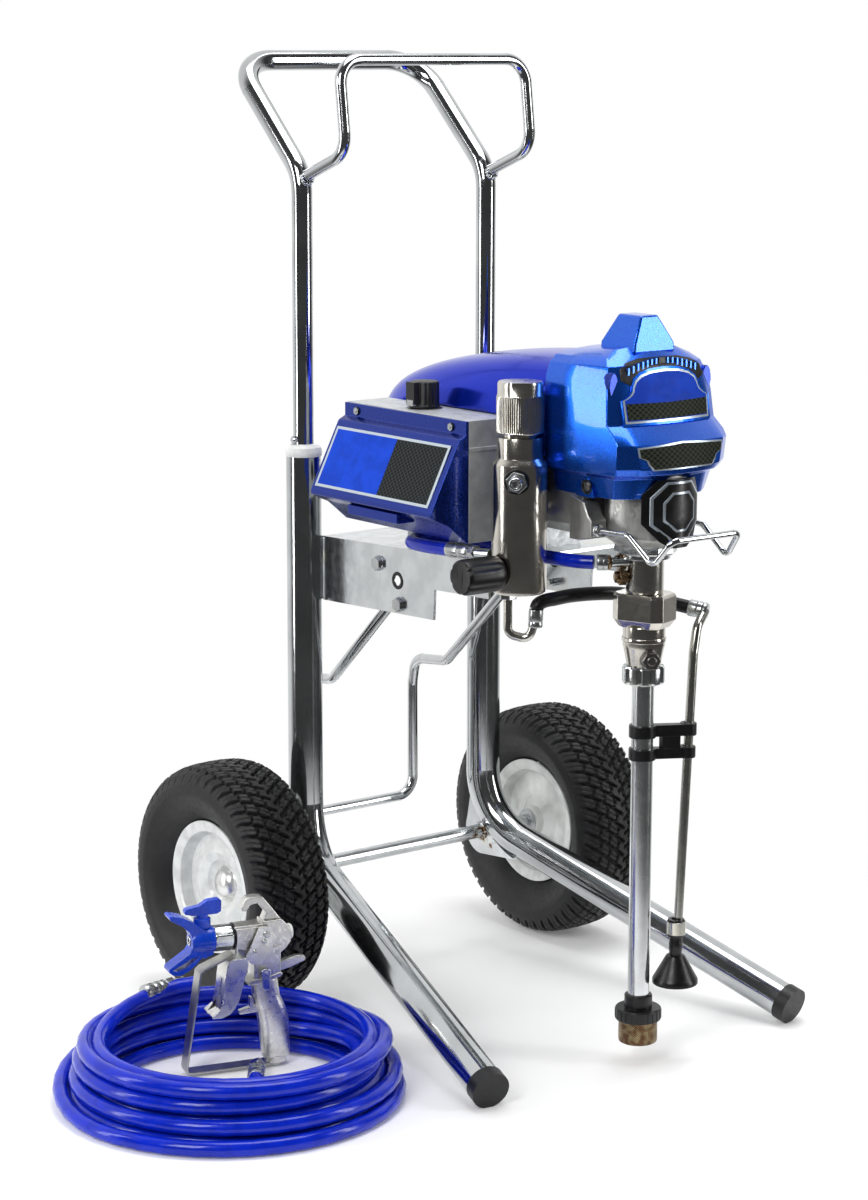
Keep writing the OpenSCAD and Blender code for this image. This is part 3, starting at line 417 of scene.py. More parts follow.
class Piece:
    """Collects closed shapes with their materials, then becomes one object."""

    def __init__(self, name):
        self.name = name
        self.verts, self.faces, self.marks, self.mats = [], [], [], []

    def add(self, verts, faces, mat, place=None):
        if mat.mat not in self.mats:
            self.mats.append(mat.mat)
        index = self.mats.index(mat.mat)
        base = len(self.verts)
        self.verts += [place @ Vector(v) if place else Vector(v) for v in verts]
        self.faces += [[base + i for i in f] for f in faces]
        self.marks += [index] * len(faces)
        return self

    def lathe(self, profile, mat, place=None, seg=64, scallop=None):
        """Turns (radius, height) points about Z. scallop(angle, radius, height) may change the radius."""
        verts, faces = [], []
        for r, h in profile:
            for k in range(seg):
                a = 2 * math.pi * k / seg
                rr = scallop(a, r, h) if scallop else r
                verts.append((rr * math.cos(a), rr * math.sin(a), h))
        for i in range(len(profile) - 1):
            for k in range(seg):
                j = (k + 1) % seg
                faces.append([i * seg + k, i * seg + j, (i + 1) * seg + j, (i + 1) * seg + k])
        closed = profile[0] == profile[-1]
        if not closed:
            faces.append(list(range(seg))[::-1])
            faces.append([(len(profile) - 1) * seg + k for k in range(seg)])
        return self.add(verts, faces, mat, place)

    def prism(self, outline, low, high, mat, place=None):
        """Extrudes an outline (local x, y) from low to high along local Z."""
        n = len(outline)
        area = sum(a[0] * b[1] - b[0] * a[1] for a, b in zip(outline, outline[1:] + outline[:1]))
        pts = outline if area > 0 else outline[::-1]
        verts = [(x, y, low) for x, y in pts] + [(x, y, high) for x, y in pts]
        faces = [list(range(n))[::-1], list(range(n, 2 * n))]
        faces += [[i, (i + 1) % n, n + (i + 1) % n, n + i] for i in range(n)]
        return self.add(verts, faces, mat, place)

    def box(self, low, high, mat, place=None):
        outline = [(low[0], low[1]), (high[0], low[1]), (high[0], high[1]), (low[0], high[1])]
        return self.prism(outline, low[2], high[2], mat, place)

    def sweep(self, path, radius, mat, sides=20):
        """A round rod or tube along a path. radius is a number or a function of the share of the way."""
        pts = [Vector(p) for p in path]
        n = len(pts)
        dirs = [(pts[min(i + 1, n - 1)] - pts[max(i - 1, 0)]).normalized() for i in range(n)]
        side = dirs[0].orthogonal().normalized()
        rings = []
        for i, (p, d) in enumerate(zip(pts, dirs)):
            side = (side - d * side.dot(d)).normalized()
            other = d.cross(side)
            r = radius(i / (n - 1)) if callable(radius) else radius
            turns = [2 * math.pi * k / sides for k in range(sides)]
            rings.append([p + (side * math.cos(a) + other * math.sin(a)) * r for a in turns])
        verts = [v for ring in rings for v in ring]
        faces = [[i * sides + k, i * sides + (k + 1) % sides, (i + 1) * sides + (k + 1) % sides,
                  (i + 1) * sides + k]
                 for i in range(n - 1) for k in range(sides)]
        faces.append(list(range(sides))[::-1])
        faces.append([(n - 1) * sides + k for k in range(sides)])
        return self.add(verts, faces, mat)

    def done(self, body, replaces=(), bevel=0.0, angle=35, subdivide=0, segments=2):
        mesh = bpy.data.meshes.new(self.name)
        mesh.from_pydata([v * MM for v in self.verts], [], self.faces)
        for m in self.mats:
            mesh.materials.append(m)
        mesh.polygons.foreach_set("material_index", self.marks)
        mesh.validate()
        face_outward(mesh)
        mesh.shade_smooth()
        obj = bpy.data.objects.new(self.name, mesh)
        bpy.context.scene.collection.objects.link(obj)
        if subdivide:
            mod = obj.modifiers.new("subdivide", "SUBSURF")
            mod.levels = mod.render_levels = subdivide
        else:
            mesh.set_sharp_from_angle(angle=math.radians(angle))
        if bevel:
            mod = obj.modifiers.new("bevel", "BEVEL")
            mod.width = bevel * MM
            mod.segments = segments
            mod.limit_method = "ANGLE"
            mod.angle_limit = math.radians(angle)
            mod.harden_normals = True
        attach(obj, body)
        if replaces:
            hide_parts(*replaces)
        return obj


def dress(node, mat):
    """Gives a CAD node that stays in view its material."""
    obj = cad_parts[node]
    obj.data.materials.clear()
    obj.data.materials.append(mat.mat)


def hexagon(flats):
    r = flats / math.sqrt(3)
    return [(r * math.cos(math.radians(60 * i)), r * math.sin(math.radians(60 * i))) for i in range(6)]


def mirror_outline(half):
    """The whole of an outline from its right half."""
    return half + [(-x, y) for x, y in reversed(half)]


def polar(r, degrees, z=0.0):
    a = math.radians(degrees)
    return Vector((r * math.cos(a), r * math.sin(a), z))


# ---------------------------------------------------------------- camera, light and floor

LENS_MM = 86.57
SENSOR_MM = 36
CAMERA_AT = (-1.897, -2.510, 1.0255)  # metres
CAMERA_DOWN, CAMERA_ROLL, CAMERA_PAN = 10.92, -0.11, -37.82  # degrees


def make_camera():
    data = bpy.data.cameras.new("camera")
    data.lens = LENS_MM
    data.sensor_width = SENSOR_MM
    cam = bpy.data.objects.new("camera", data)
    cam.location = CAMERA_AT
    cam.rotation_euler = [math.radians(a) for a in (90 - CAMERA_DOWN, CAMERA_ROLL, CAMERA_PAN)]
    bpy.context.scene.collection.objects.link(cam)
    bpy.context.scene.camera = cam


def area_light(name, at, target, size, power, color=(1, 1, 1), size_y=None):
    data = bpy.data.lights.new(name, "AREA")
    data.energy = power
    data.color = color
    data.size = size
    if size_y:
        data.shape = "RECTANGLE"
        data.size_y = size_y
    light = bpy.data.objects.new(name, data)
    light.location = at
    light.rotation_euler = (Vector(target) - Vector(at)).to_track_quat("-Z", "Y").to_euler()
    bpy.context.scene.collection.objects.link(light)


def make_studio():
    scene = bpy.context.scene
    scene.view_settings.view_transform = "Standard"
    world = bpy.data.worlds.new("studio")
    scene.world = world
    world.use_nodes = True
    nodes, links = world.node_tree.nodes, world.node_tree.links
    back = nodes["Background"]
    coord = nodes.new("ShaderNodeTexCoord")
    dot = nodes.new("ShaderNodeVectorMath")
    dot.operation = "DOT_PRODUCT"
    dot.inputs[1].default_value = (0.35, 0.90, 0.25)
    links.new(coord.outputs["Generated"], dot.inputs[0])
    ramp = nodes.new("ShaderNodeMapRange")
    ramp.interpolation_type = "SMOOTHSTEP"
    for key, value in (("From Min", 0.0), ("From Max", 0.6), ("To Min", 0.06), ("To Max", 1.0)):
        ramp.inputs[key].default_value = value
    links.new(dot.outputs["Value"], ramp.inputs["Value"])
    links.new(ramp.outputs["Result"], back.inputs["Strength"])
    back.inputs["Color"].default_value = (1, 1, 1, 1)

    area_light("key", (-2.6, -1.3, 2.2), (0, -0.1, 0.4), 1.0, 50, size_y=1.6)
    area_light("strip_left", (-2.6, 0.9, 1.0), (0, 0, 0.5), 0.4, 26, size_y=2.4)
    area_light("strip_right", (1.7, -2.3, 1.1), (0, -0.2, 0.5), 0.5, 34, size_y=2.4)
    area_light("top", (0.2, -0.3, 2.8), (0, -0.2, 0.4), 1.6, 40)

    floor_mat = Mat("pale floor", (0.92, 0.92, 0.92), rough=0.6)
    floor_mat.set("Emission Color", (1, 1, 1, 1))
    floor_mat.set("Emission Strength", 0.1)
    floor_mat.vary_rough(floor_mat.noise(80, 3), 0.05)
    fade_out(floor_mat, (-0.12, -0.2), 0.35, 1.0)
    mesh = bpy.data.meshes.new("floor")
    verts = [(3 * math.cos(math.radians(6 * k)), 3 * math.sin(math.radians(6 * k)),
              -0.0002) for k in range(60)]
    mesh.from_pydata(verts, [], [list(range(60))])
    mesh.materials.append(floor_mat.mat)
    obj = bpy.data.objects.new("floor", mesh)
    scene.collection.objects.link(obj)


def fade_out(m, centre, near, far):
    """Lets a floor become transparent between two distances from its centre."""
    xyz = m.axes()
    dx, dy = m.math("SUBTRACT", xyz["X"], centre[0]), m.math("SUBTRACT", xyz["Y"], centre[1])
    reach = m.math("SQRT", m.math("ADD", m.math("MULTIPLY", dx, dx), m.math("MULTIPLY", dy, dy)))
    mix = m.add("ShaderNodeMixShader")
    clear = m.add("ShaderNodeBsdfTransparent")
    m.join(m.ramp(reach, near, far), mix.inputs["Fac"])
    m.join(m.shader.outputs["BSDF"], mix.inputs[1])
    m.join(clear.outputs["BSDF"], mix.inputs[2])
    m.join(mix.outputs["Shader"], m.nodes["Material Output"].inputs["Surface"])


# ---------------------------------------------------------------- fluid hose

LEAD_ROUTE = [(-352, -232, 8), (-359, -242, 8), (-366, -252, 8), (-377, -264, 8), (-389, -274, 8), (-404,
        -281, 8),
              (-420, -285, 8), (-436, -285, 8), (-453, -282, 8), (-468.5, -275, 8), (-482, -264, 8),
              (-493, -249.5, 8.2), (-500.5, -231, 8.2), (-504, -210, 8.2)]
# Turns of the coil: (turns so far, radius, height), the hose runs clockwise seen from above
COIL_KEYS = [(0.0, 125, 8.2), (2.9, 171, 8.2), (3.15, 168, 24.6), (5.3, 133, 24.6), (5.55, 126, 41.0),
             (7.3, 155, 41.0), (7.55, 152, 57.0), (9.0, 131, 57.0), (9.22, 130, COIL_TOP + 8.2)]
COIL_START = 152.0
TURN_POINTS = 40


def coil_points():
    out = []
    for (t0, r0, z0), (t1, r1, z1) in zip(COIL_KEYS, COIL_KEYS[1:]):
        count = max(2, round((t1 - t0) * TURN_POINTS))
        for i in range(count):
            s = i / count
            ease = s * s * (3 - 2 * s)
            z = z0 + (z1 - z0) * ease
            r = r0 + (r1 - r0) * s
            out.append(Vector((COIL[0], COIL[1], 0)) + polar(r, COIL_START - 360 * (t0 + (t1 - t0) * s), z))
    t, r, z = COIL_KEYS[-1]
    out.append(Vector((COIL[0], COIL[1], 0)) + polar(r, COIL_START - 360 * t, z))
    return out


def make_hose():
    route = smooth_path(LEAD_ROUTE, 2)[:-1] + coil_points()[2:]
    curve = bpy.data.curves.new("fluid_hose", "CURVE")
    curve.dimensions = "3D"
    curve.bevel_depth = (HOSE_R - 0.1) * MM
    curve.bevel_resolution = 5
    curve.use_fill_caps = True
    spline = curve.splines.new("POLY")
    spline.points.add(len(route) - 1)
    for point, p in zip(spline.points, route):
        point.co = (*(p * MM), 1)
    spline.use_smooth = True
    curve.materials.append(M_HOSE.mat)
    obj = bpy.data.objects.new("fluid_hose", curve)
    bpy.context.scene.collection.objects.link(obj)
    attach(obj, "cart")
    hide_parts("hose_coil", "hose_lead")

    ends = Piece("hose_ends")
    for start, finish in (((-352, -232, 8.4), (-328, -200, 8.4)),
                          ((-400, -106, COIL_TOP + 8.2), (-352, -101, COIL_TOP + 8.2))):
        way = Vector(finish) - Vector(start)
        place = toward(start, way)
        long = way.length
        ferrule = [(0.01, -4), (8.2, -4), (8.8, -2), (8.8, 6), (8.3, 7), (8.8, 8), (8.8, 14), (8.3, 15),
                   (8.8, 16),
                   (8.8, 22), (7.5, 24), (0.01, 24)]
        ends.lathe(ferrule, M_ZINC_DARK, place, 40)
        ends.prism(hexagon(15.5), 24, 34, M_ZINC, place)
        ends.lathe([(0.01, 34), (6.2, 34), (6.6, 35), (6.6, long - 1), (5.6, long), (3.2, long), (3.2,
                long - 6),
                    (0.01, long - 6)], M_ZINC, place, 32)
    ends_obj = ends.done("cart", ["hose_couplings"], bevel=0.5)


# ---------------------------------------------------------------- wheels

def tyre_section(t):
    """Radius and half-width fractions across the tyre, t from -1 at one bead to 1 at the other."""
    half = [(0.0, 133.4, 0.0), (0.16, 133.2, 12.0), (0.32, 132.2, 24.0), (0.45, 129.6, 33.5), (0.56, 124.0,
            41.0),
            (0.68, 114.0, 45.6), (0.78, 103.5, 46.2), (0.88, 91.0, 41.5), (0.95, 80.0, 33.0), (1.0, 72.4,
                    25.0)]
    a = abs(t)
    for (t0, r0, w0), (t1, r1, w1) in zip(half, half[1:]):
        if a <= t1:
            s = (a - t0) / (t1 - t0)
            return r0 + (r1 - r0) * s, math.copysign(w0 + (w1 - w0) * s, t)
    return half[-1][1], math.copysign(half[-1][2], t)


CHEVRONS = 52
TREAD_DEPTH = 4.5
RING_GROOVES = (8.5, 20.5, 32.0)


def step_up(x, edge, soft):
    return min(1.0, max(0.0, (x - edge) / soft + 0.5))


def tread_depth(angle, lateral):
    """0 on top of a block, up to the full depth in the slanted and the ring grooves."""
    w = abs(lateral)
    turn = angle / (2 * math.pi) * CHEVRONS + (0.5 if lateral > 0 else 0.0)
    phase = (turn + w * 0.045) % 1.0
    slanted = 1 - step_up(phase, 0.20, 0.09) + step_up(phase, 0.96, 0.06)
    zigzag = 1.3 * (4 * abs(phase - 0.5) - 1)
    ring = max(1 - step_up(abs(w - c - zigzag), 1.1, 0.9) for c in RING_GROOVES)
    sipe = 0.35 * (1 - step_up(abs(phase - 0.60), 0.035, 0.03)) * step_up(w, 11, 2)
    fade = 1 - step_up(w, 43.5, 3)
    return TREAD_DEPTH * fade * min(1.0, max(slanted, 0.85 * ring, sipe))


def make_tyre(side):
    around = CHEVRONS * 16
    fine, coarse = 58, 12
    shares = [-1 + 0.34 * j / coarse for j in range(coarse)]
    shares += [-0.66 + 1.32 * j / fine for j in range(fine + 1)]
    shares += [0.66 + 0.34 * (j + 1) / coarse for j in range(coarse)]
    verts, faces = [], []
    for i in range(around):
        a = 2 * math.pi * i / around
        for t in shares:
            r, w = tyre_section(t)
            r -= tread_depth(a, w) if abs(t) < 0.665 else 0
            if 0.72 < abs(t) < 0.94:
                r += 0.3 * math.sin(abs(t) * 150)
            verts.append((w, r * math.cos(a), r * math.sin(a)))
    n = len(shares)
    for i in range(around):
        k = (i + 1) % around
        faces += [[i * n + j, i * n + j + 1, k * n + j + 1, k * n + j] for j in range(n - 1)]
        faces.append([i * n + n - 1, i * n, k * n, k * n + n - 1])
    name = "left" if side < 0 else "right"
    tyre = Piece("tyre_" + name + "_tread")
    tyre.add(verts, faces, M_TYRE, Matrix.Translation((side * WHEEL_X, 0, AXLE_Z)))
    tyre.done("wheel_" + name, ["tyre_" + name], angle=28)


def make_rim(side):
    name = "left" if side < 0 else "right"
    place = along_axis("x" if side > 0 else "-x", (side * WHEEL_X, 0, AXLE_Z))
    rim = Piece("rim_" + name + "_disc")
    outer = [(8.1, -32), (15, -32), (16.5, -30), (17, -22), (30, -14), (56, -12), (58.5, -16), (60, -26),
             (66, -28.5), (72, -28.5), (72.4, -27), (71, -25.6), (66, -25), (64, -20), (63, -6), (62, 0),
             (63, 6),
             (64, 20), (66, 25), (71, 25.6), (72.4, 27), (72, 28.5), (66, 28.5), (60.5, 26), (58, 18), (56,
                     14),
             (50, 12.5), (44, 15.5), (36, 16), (27, 12), (22, 6), (18, 4), (8.1, 4), (8.1, -32)]
    rim.lathe(outer, M_RIM, place, 96)
    rim.done("wheel_" + name, ["rim_" + name], bevel=0.0, angle=25)
    bearing = Piece("bearing_" + name)
    for face, z in ((-1, -32.4), (1, 4.0)):
        ring = [(8.1, z), (15.2, z), (15.2, z + face * 1.2), (13.2, z + face * 1.6), (12.4, z + face * 0.8),
                (10.6, z + face * 0.8), (10.2, z + face * 1.4), (8.1, z + face * 1.4), (8.1, z)]
        bearing.lathe(ring, M_CAST_GREY, place, 48)
    bearing.done("wheel_" + name, angle=25)


def make_hub_caps():
    caps = Piece("hub_cap_domes")
    for side in (-1, 1):
        place = along_axis("x" if side > 0 else "-x", (side * (WHEEL_X + 3.4), 0, AXLE_Z))
        caps.lathe([(8.0, 0), (19.5, 0), (19.8, 1.2), (18.2, 2.0), (17.4, 4), (15.8, 7.4), (12.4, 10.4),
                    (7, 12.4),
                    (0.01, 13)], M_TRIGGER, place, 64)
        caps.lathe([(8.2, -0.6), (21.4, -0.6), (21.6, 0.4), (20.4, 1.4), (8.2, 1.4), (8.2, -0.6)],
                   M_WASHER, place, 64)
    caps.done("cart", ["hub_caps"], angle=25)


# ---------------------------------------------------------------- cart

def make_cart():
    for node in ("side_tube_left", "side_tube_right"):
        dress(node, M_TUBE)
    dress("leg_caps", M_BLACK_SATIN)
    dress("handle_tube", M_HANDLE)
    dress("handle_hoop", M_ROD)
    dress("hose_rack", M_ROD)
    dress("axle", M_WELDED)
    dress("pail_hook", M_ROD)
    for node in ("snap_button_left", "snap_button_right"):
        dress(node, M_ROD)
    top = box_mm("side_tube_left")[1][2]
    bush = Piece("handle_bush_collars")
    for side in (-1, 1):
        place = Matrix.Translation((side * UPRIGHT_X, 0, top))
        bush.lathe([(11.2, 0), (19.2, 0), (19.8, 2), (19.8, 5), (18.6, 9.5), (15.5, 12.6), (12.6, 13),
                    (11.2, 12.6),
                    (11.2, 0)], M_WHITE, place, 64)
        bush.lathe([(11.2, -60), (16.9, -60), (16.9, 0), (11.2, 0), (11.2, -60)], M_WHITE, place, 48)
    bush.done("cart", ["handle_bushes"], angle=25)
    welds = Piece("frame_welds")
    for side in (-1, 1):
        for z, r in ((AXLE_Z, 8.6),):
            for k in range(26):
                a = 360 * k / 26
                at = Vector((side * (UPRIGHT_X - 3.4), 0, z)) + Vector((0, *polar(r, a)[:2]))
                bead = 2.3 + 0.4 * RNG.random()
                welds.lathe([(0.01, -bead), (bead * 0.8, -bead * 0.5), (bead, 0), (bead * 0.8, bead * 0.5),
                             (0.01, bead)],
                            M_WELDED, Matrix.Translation(at), 8)
    for side in (-1, 1):
        for k in range(30):
            z = 436 + k * 2.2
            at = (side * 107.6, -12.5, z)
            bead = 2.4 + 0.5 * RNG.random()
            welds.lathe([(0.01, -bead), (bead * 0.8, -bead * 0.5), (bead, 0), (bead * 0.8, bead * 0.5),
                         (0.01, bead)],
                        M_WELDED, Matrix.Translation(at), 8)
    for side in (-1, 1):
        for k in range(12):
            at = Vector((side * UPRIGHT_X, -10.6, 886)) + polar(6.6, 30 * k)
            at.z = 886 + 6.6 * math.sin(math.radians(30 * k))
            at.x = side * UPRIGHT_X + 6.6 * math.cos(math.radians(30 * k))
            at.y = -10.8
            welds_handle.append(at)
    welds.done("cart", angle=60)


welds_handle = []


def make_handle_welds():
    welds = Piece("hoop_welds")
    for at in welds_handle:
        bead = 2.0 + 0.4 * RNG.random()
        welds.lathe([(0.01, -bead), (bead * 0.8, -bead * 0.5), (bead, 0), (bead * 0.8, bead * 0.5), (0.01,
                bead)],
                    M_ROD, Matrix.Translation(at), 8)
    welds.done("handle", angle=60)


def make_tray():
    dress("motor_tray", M_ZINC)
    dress("screws", M_ZINC_DARK)
    grommets = Piece("tray_grommets")
    for side in (-1, 1):
        spot = toward((side * 108, -145, 474), (side, 0, 0))
        grommets.lathe([(5.4, -0.5), (9.2, -0.5), (9.4, 0.2), (9.0, 0.7), (7.6, 0.9), (5.6, 0.5), (5.4,
                -0.5)], M_BLACK,
                       spot, 40)
        for y, z in ((-111, 488), (-146, 449)):
            washer = toward((side * 108, y, z), (side, 0, 0))
            grommets.lathe([(4.6, -0.3), (8.2, -0.3), (8.4, 0.4), (8.0, 1.0), (4.6, 1.0), (4.6, -0.3)],
                           M_ZINC, washer, 36)
    grommets.done("cart", angle=30)


# ---------------------------------------------------------------- covers

def loft(piece, rings, mat, cap_start=True, cap_end=True, closed=True):
    """Skins rings of equal point count."""
    n = len(rings[0])
    verts = [p for ring in rings for p in ring]
    faces = []
    last = n if closed else n - 1
    for i in range(len(rings) - 1):
        faces += [[i * n + k, i * n + (k + 1) % n, (i + 1) * n + (k + 1) % n,
                   (i + 1) * n + k] for k in range(last)]
    if cap_start:
        faces.append(list(range(n))[::-1])
    if cap_end:
        faces.append([(len(rings) - 1) * n + k for k in range(n)])
    piece.add(verts, faces, mat)


# Right half of the cover's plan at each height: rear edge, side crease, corner, label edge, nose
COVER_LEVELS = [
    (590, [(62, -345), (63, -382), (60, -428), (44, -441), (0, -446)]),
    (611, [(67, -345), (68, -382), (64, -434), (45, -446), (0, -452)]),
    (615, [(75, -345), (76, -381), (68, -441), (47, -456), (0, -464)]),
    (622, [(77, -345), (78, -380), (70.5, -445), (52, -459), (0, -466)]),
    (645, [(78.4, -345), (79, -379), (72, -447), (58, -457), (0, -463)]),
    (652, [(78.6, -345), (79, -378), (71.5, -443), (58, -450), (0, -455)]),
    (663, [(78.6, -345), (79, -377), (70.5, -430), (58, -437), (0, -443)]),
    (690, [(78.2, -345), (78.6, -377), (68.5, -427), (56, -433), (0, -438)]),
    (706, [(76.6, -345), (77, -377), (65.5, -424), (54, -430), (0, -435)]),
    (719, [(72, -345), (72, -376), (61, -419), (50, -425), (0, -430)]),
    (726, [(64, -345), (63, -374), (54, -410), (44, -417), (0, -424)]),
]


def cover_ring(z, half):
    """A full ring from the rear right round the nose to the rear left; the rear edge is not closed across.
    """
    dense = []
    for (x0, y0), (x1, y1) in zip(half, half[1:]):
        count = 6 if x1 == 0 else 4
        for i in range(count):
            s = i / count
            bulge = 1.6 * math.sin(math.pi * s) if x1 == 0 else 0
            dense.append((x0 + (x1 - x0) * s, y0 + (y1 - y0) * s - bulge))
    dense.append(half[-1])
    right = [(x, y, z) for x, y in dense]
    left = [(-x, y, z) for x, y in reversed(dense[:-1])]
    return right + left


def crown(y, x, z_edge):
    """Height of the cover's top between its edges."""
    return z_edge + 11 * (1 - (x / 66) ** 2) * (0.55 + 0.45 * min(1, max(0, (-y - 345) / 60)))


def make_front_cover():
    cover = Piece("front_cover_shell")
    rings = [cover_ring(z, half) for z, half in COVER_LEVELS]
    loft(cover, rings, M_COVER, cap_start=False, cap_end=False, closed=False)
    # the crowned top: strips from the last ring inwards
    ring = rings[-1]
    n = len(ring)
    top = []
    for share in (1.0, 0.8, 0.55, 0.28, 0.0):
        row = []
        for x, y, z in ring:
            cx = 0.0
            px, py = cx + (x - cx) * share, (y if share == 1 else -345 + (y + 345) * (0.25 + 0.75 * share))
            if abs(y + 345) < 0.01:
                py = -345
            row.append((px, py, z if share == 1 else crown(py, px, 726)))
        top.append(row)
    verts = [p for row in top for p in row]
    faces = [[i * n + k, i * n + k + 1, (i + 1) * n + k + 1,
              (i + 1) * n + k] for i in range(4) for k in range(n - 1)]
    cover.add(verts, faces, M_COVER)
    shell = cover.done("cart", ["front_cover"], angle=24)
    weld = shell.modifiers.new("weld", "WELD")
    weld.merge_threshold = 0.0004
    thick = shell.modifiers.new("thickness", "SOLIDIFY")
    thick.thickness = 2.6 * MM
    thick.offset = -1
    bevel = shell.modifiers.new("soft_edges", "BEVEL")
    bevel.width = 2.2 * MM
    bevel.segments = 3
    bevel.limit_method = "ANGLE"
    bevel.angle_limit = math.radians(24)
    bevel.harden_normals = True

    hump = Piece("cover_hump")
    foot = [(27, -368), (27, -419), (-27, -419), (-27, -368)]
    head = [(11, -377), (11, -411), (-11, -411), (-11, -377)]
    loft(hump, [[(x, y, 729) for x, y in foot], [(x * 0.96, y, 738) for x, y in foot], [(x, y, 765) for x,
            y in head]],
         M_COVER)
    hump.done("cart", bevel=2.2, segments=3)
    make_cover_trim()


def front_y(x, z):
    """Where the cover's front face lies at a height, for labels laid on it."""
    for (z0, h0), (z1, h1) in zip(COVER_LEVELS, COVER_LEVELS[1:]):
        if z0 <= z <= z1:
            s = (z - z0) / (z1 - z0)
            edge = h0[3][1] + (h1[3][1] - h0[3][1]) * s
            edge_x = h0[3][0] + (h1[3][0] - h0[3][0]) * s
            nose = h0[4][1] + (h1[4][1] - h0[4][1]) * s
            t = min(1, abs(x) / edge_x)
            return edge + (nose - edge) * (1 - t) - 1.6 * math.sin(math.pi * (1 - t))
    return COVER_LEVELS[-1][1][3][1]


def laid_plate(piece, outline, lift, mat, depth=1.2, columns=14):
    """A label: an outline in (x, z) cut into columns and laid on the cover's curved front."""
    xs = [x for x, z in outline]
    low, high = min(xs), max(xs)

    def span(x):
        hits = []
        for (x0, z0), (x1, z1) in zip(outline, outline[1:] + outline[:1]):
            if (x0 - x) * (x1 - x) <= 0 and x0 != x1:
                hits.append(z0 + (z1 - z0) * (x - x0) / (x1 - x0))
        return (min(hits), max(hits)) if hits else None

    cuts = sorted({round(low + (high - low) * i / columns, 3) for i in range(columns + 1)} | {round(x,
            3) for x in xs})
    rows = 6
    grid = []
    for x in cuts:
        inside = min(max(x, low + 0.01), high - 0.01)
        z0, z1 = span(inside)
        grid.append([(x, z0 + (z1 - z0) * j / rows) for j in range(rows + 1)])
    n = rows + 1
    verts = [(x, front_y(x, z) - lift, z) for col in grid for x, z in col]
    verts += [(x, front_y(x, z) - lift + depth, z) for col in grid for x, z in col]
    base = len(grid) * n
    faces = []
    for i in range(len(grid) - 1):
        for j in range(rows):
            a, b, c, d = i * n + j, (i + 1) * n + j, (i + 1) * n + j + 1, i * n + j + 1
            faces.append([a, b, c, d])
            faces.append([base + d, base + c, base + b, base + a])
        for j in (0, rows):
            a, b = i * n + j, (i + 1) * n + j
            faces.append([a, base + a, base + b, b] if j == 0 else [b, base + b, base + a, a])
    for i in (0, len(grid) - 1):
        for j in range(rows):
            a, b = i * n + j, i * n + j + 1
            faces.append([b, base + b, base + a, a] if i == 0 else [a, base + a, base + b, b])
    piece.add(verts, faces, mat)


def grown(outline, by):
    """An outline scaled about its middle so that it stands out by a margin."""
    cx = (min(x for x, z in outline) + max(x for x, z in outline)) / 2
    cz = (min(z for x, z in outline) + max(z for x, z in outline)) / 2
    hx = max(x for x, z in outline) - cx
    hz = max(z for x, z in outline) - cz
    return [(cx + (x - cx) * (hx + by) / hx, cz + (z - cz) * (hz + by) / hz) for x, z in outline]


UPPER_LABEL = mirror_outline([(52, 667), (53, 687), (48, 689), (44, 691.5), (41, 695), (40, 699), (37, 704),
                              (30, 708.5), (18, 711.5), (0.5, 712.5)])
VENT_BAND = mirror_outline([(0.5, 717.5), (30, 713.5), (40, 708), (44, 701), (54, 706), (52, 716), (42,
        722),
                            (25, 725.4), (0.5, 725.8)])
LOWER_LABEL = mirror_outline([(37, 622), (42, 627), (44, 631), (52, 634), (53.5, 642), (0.5, 645)])


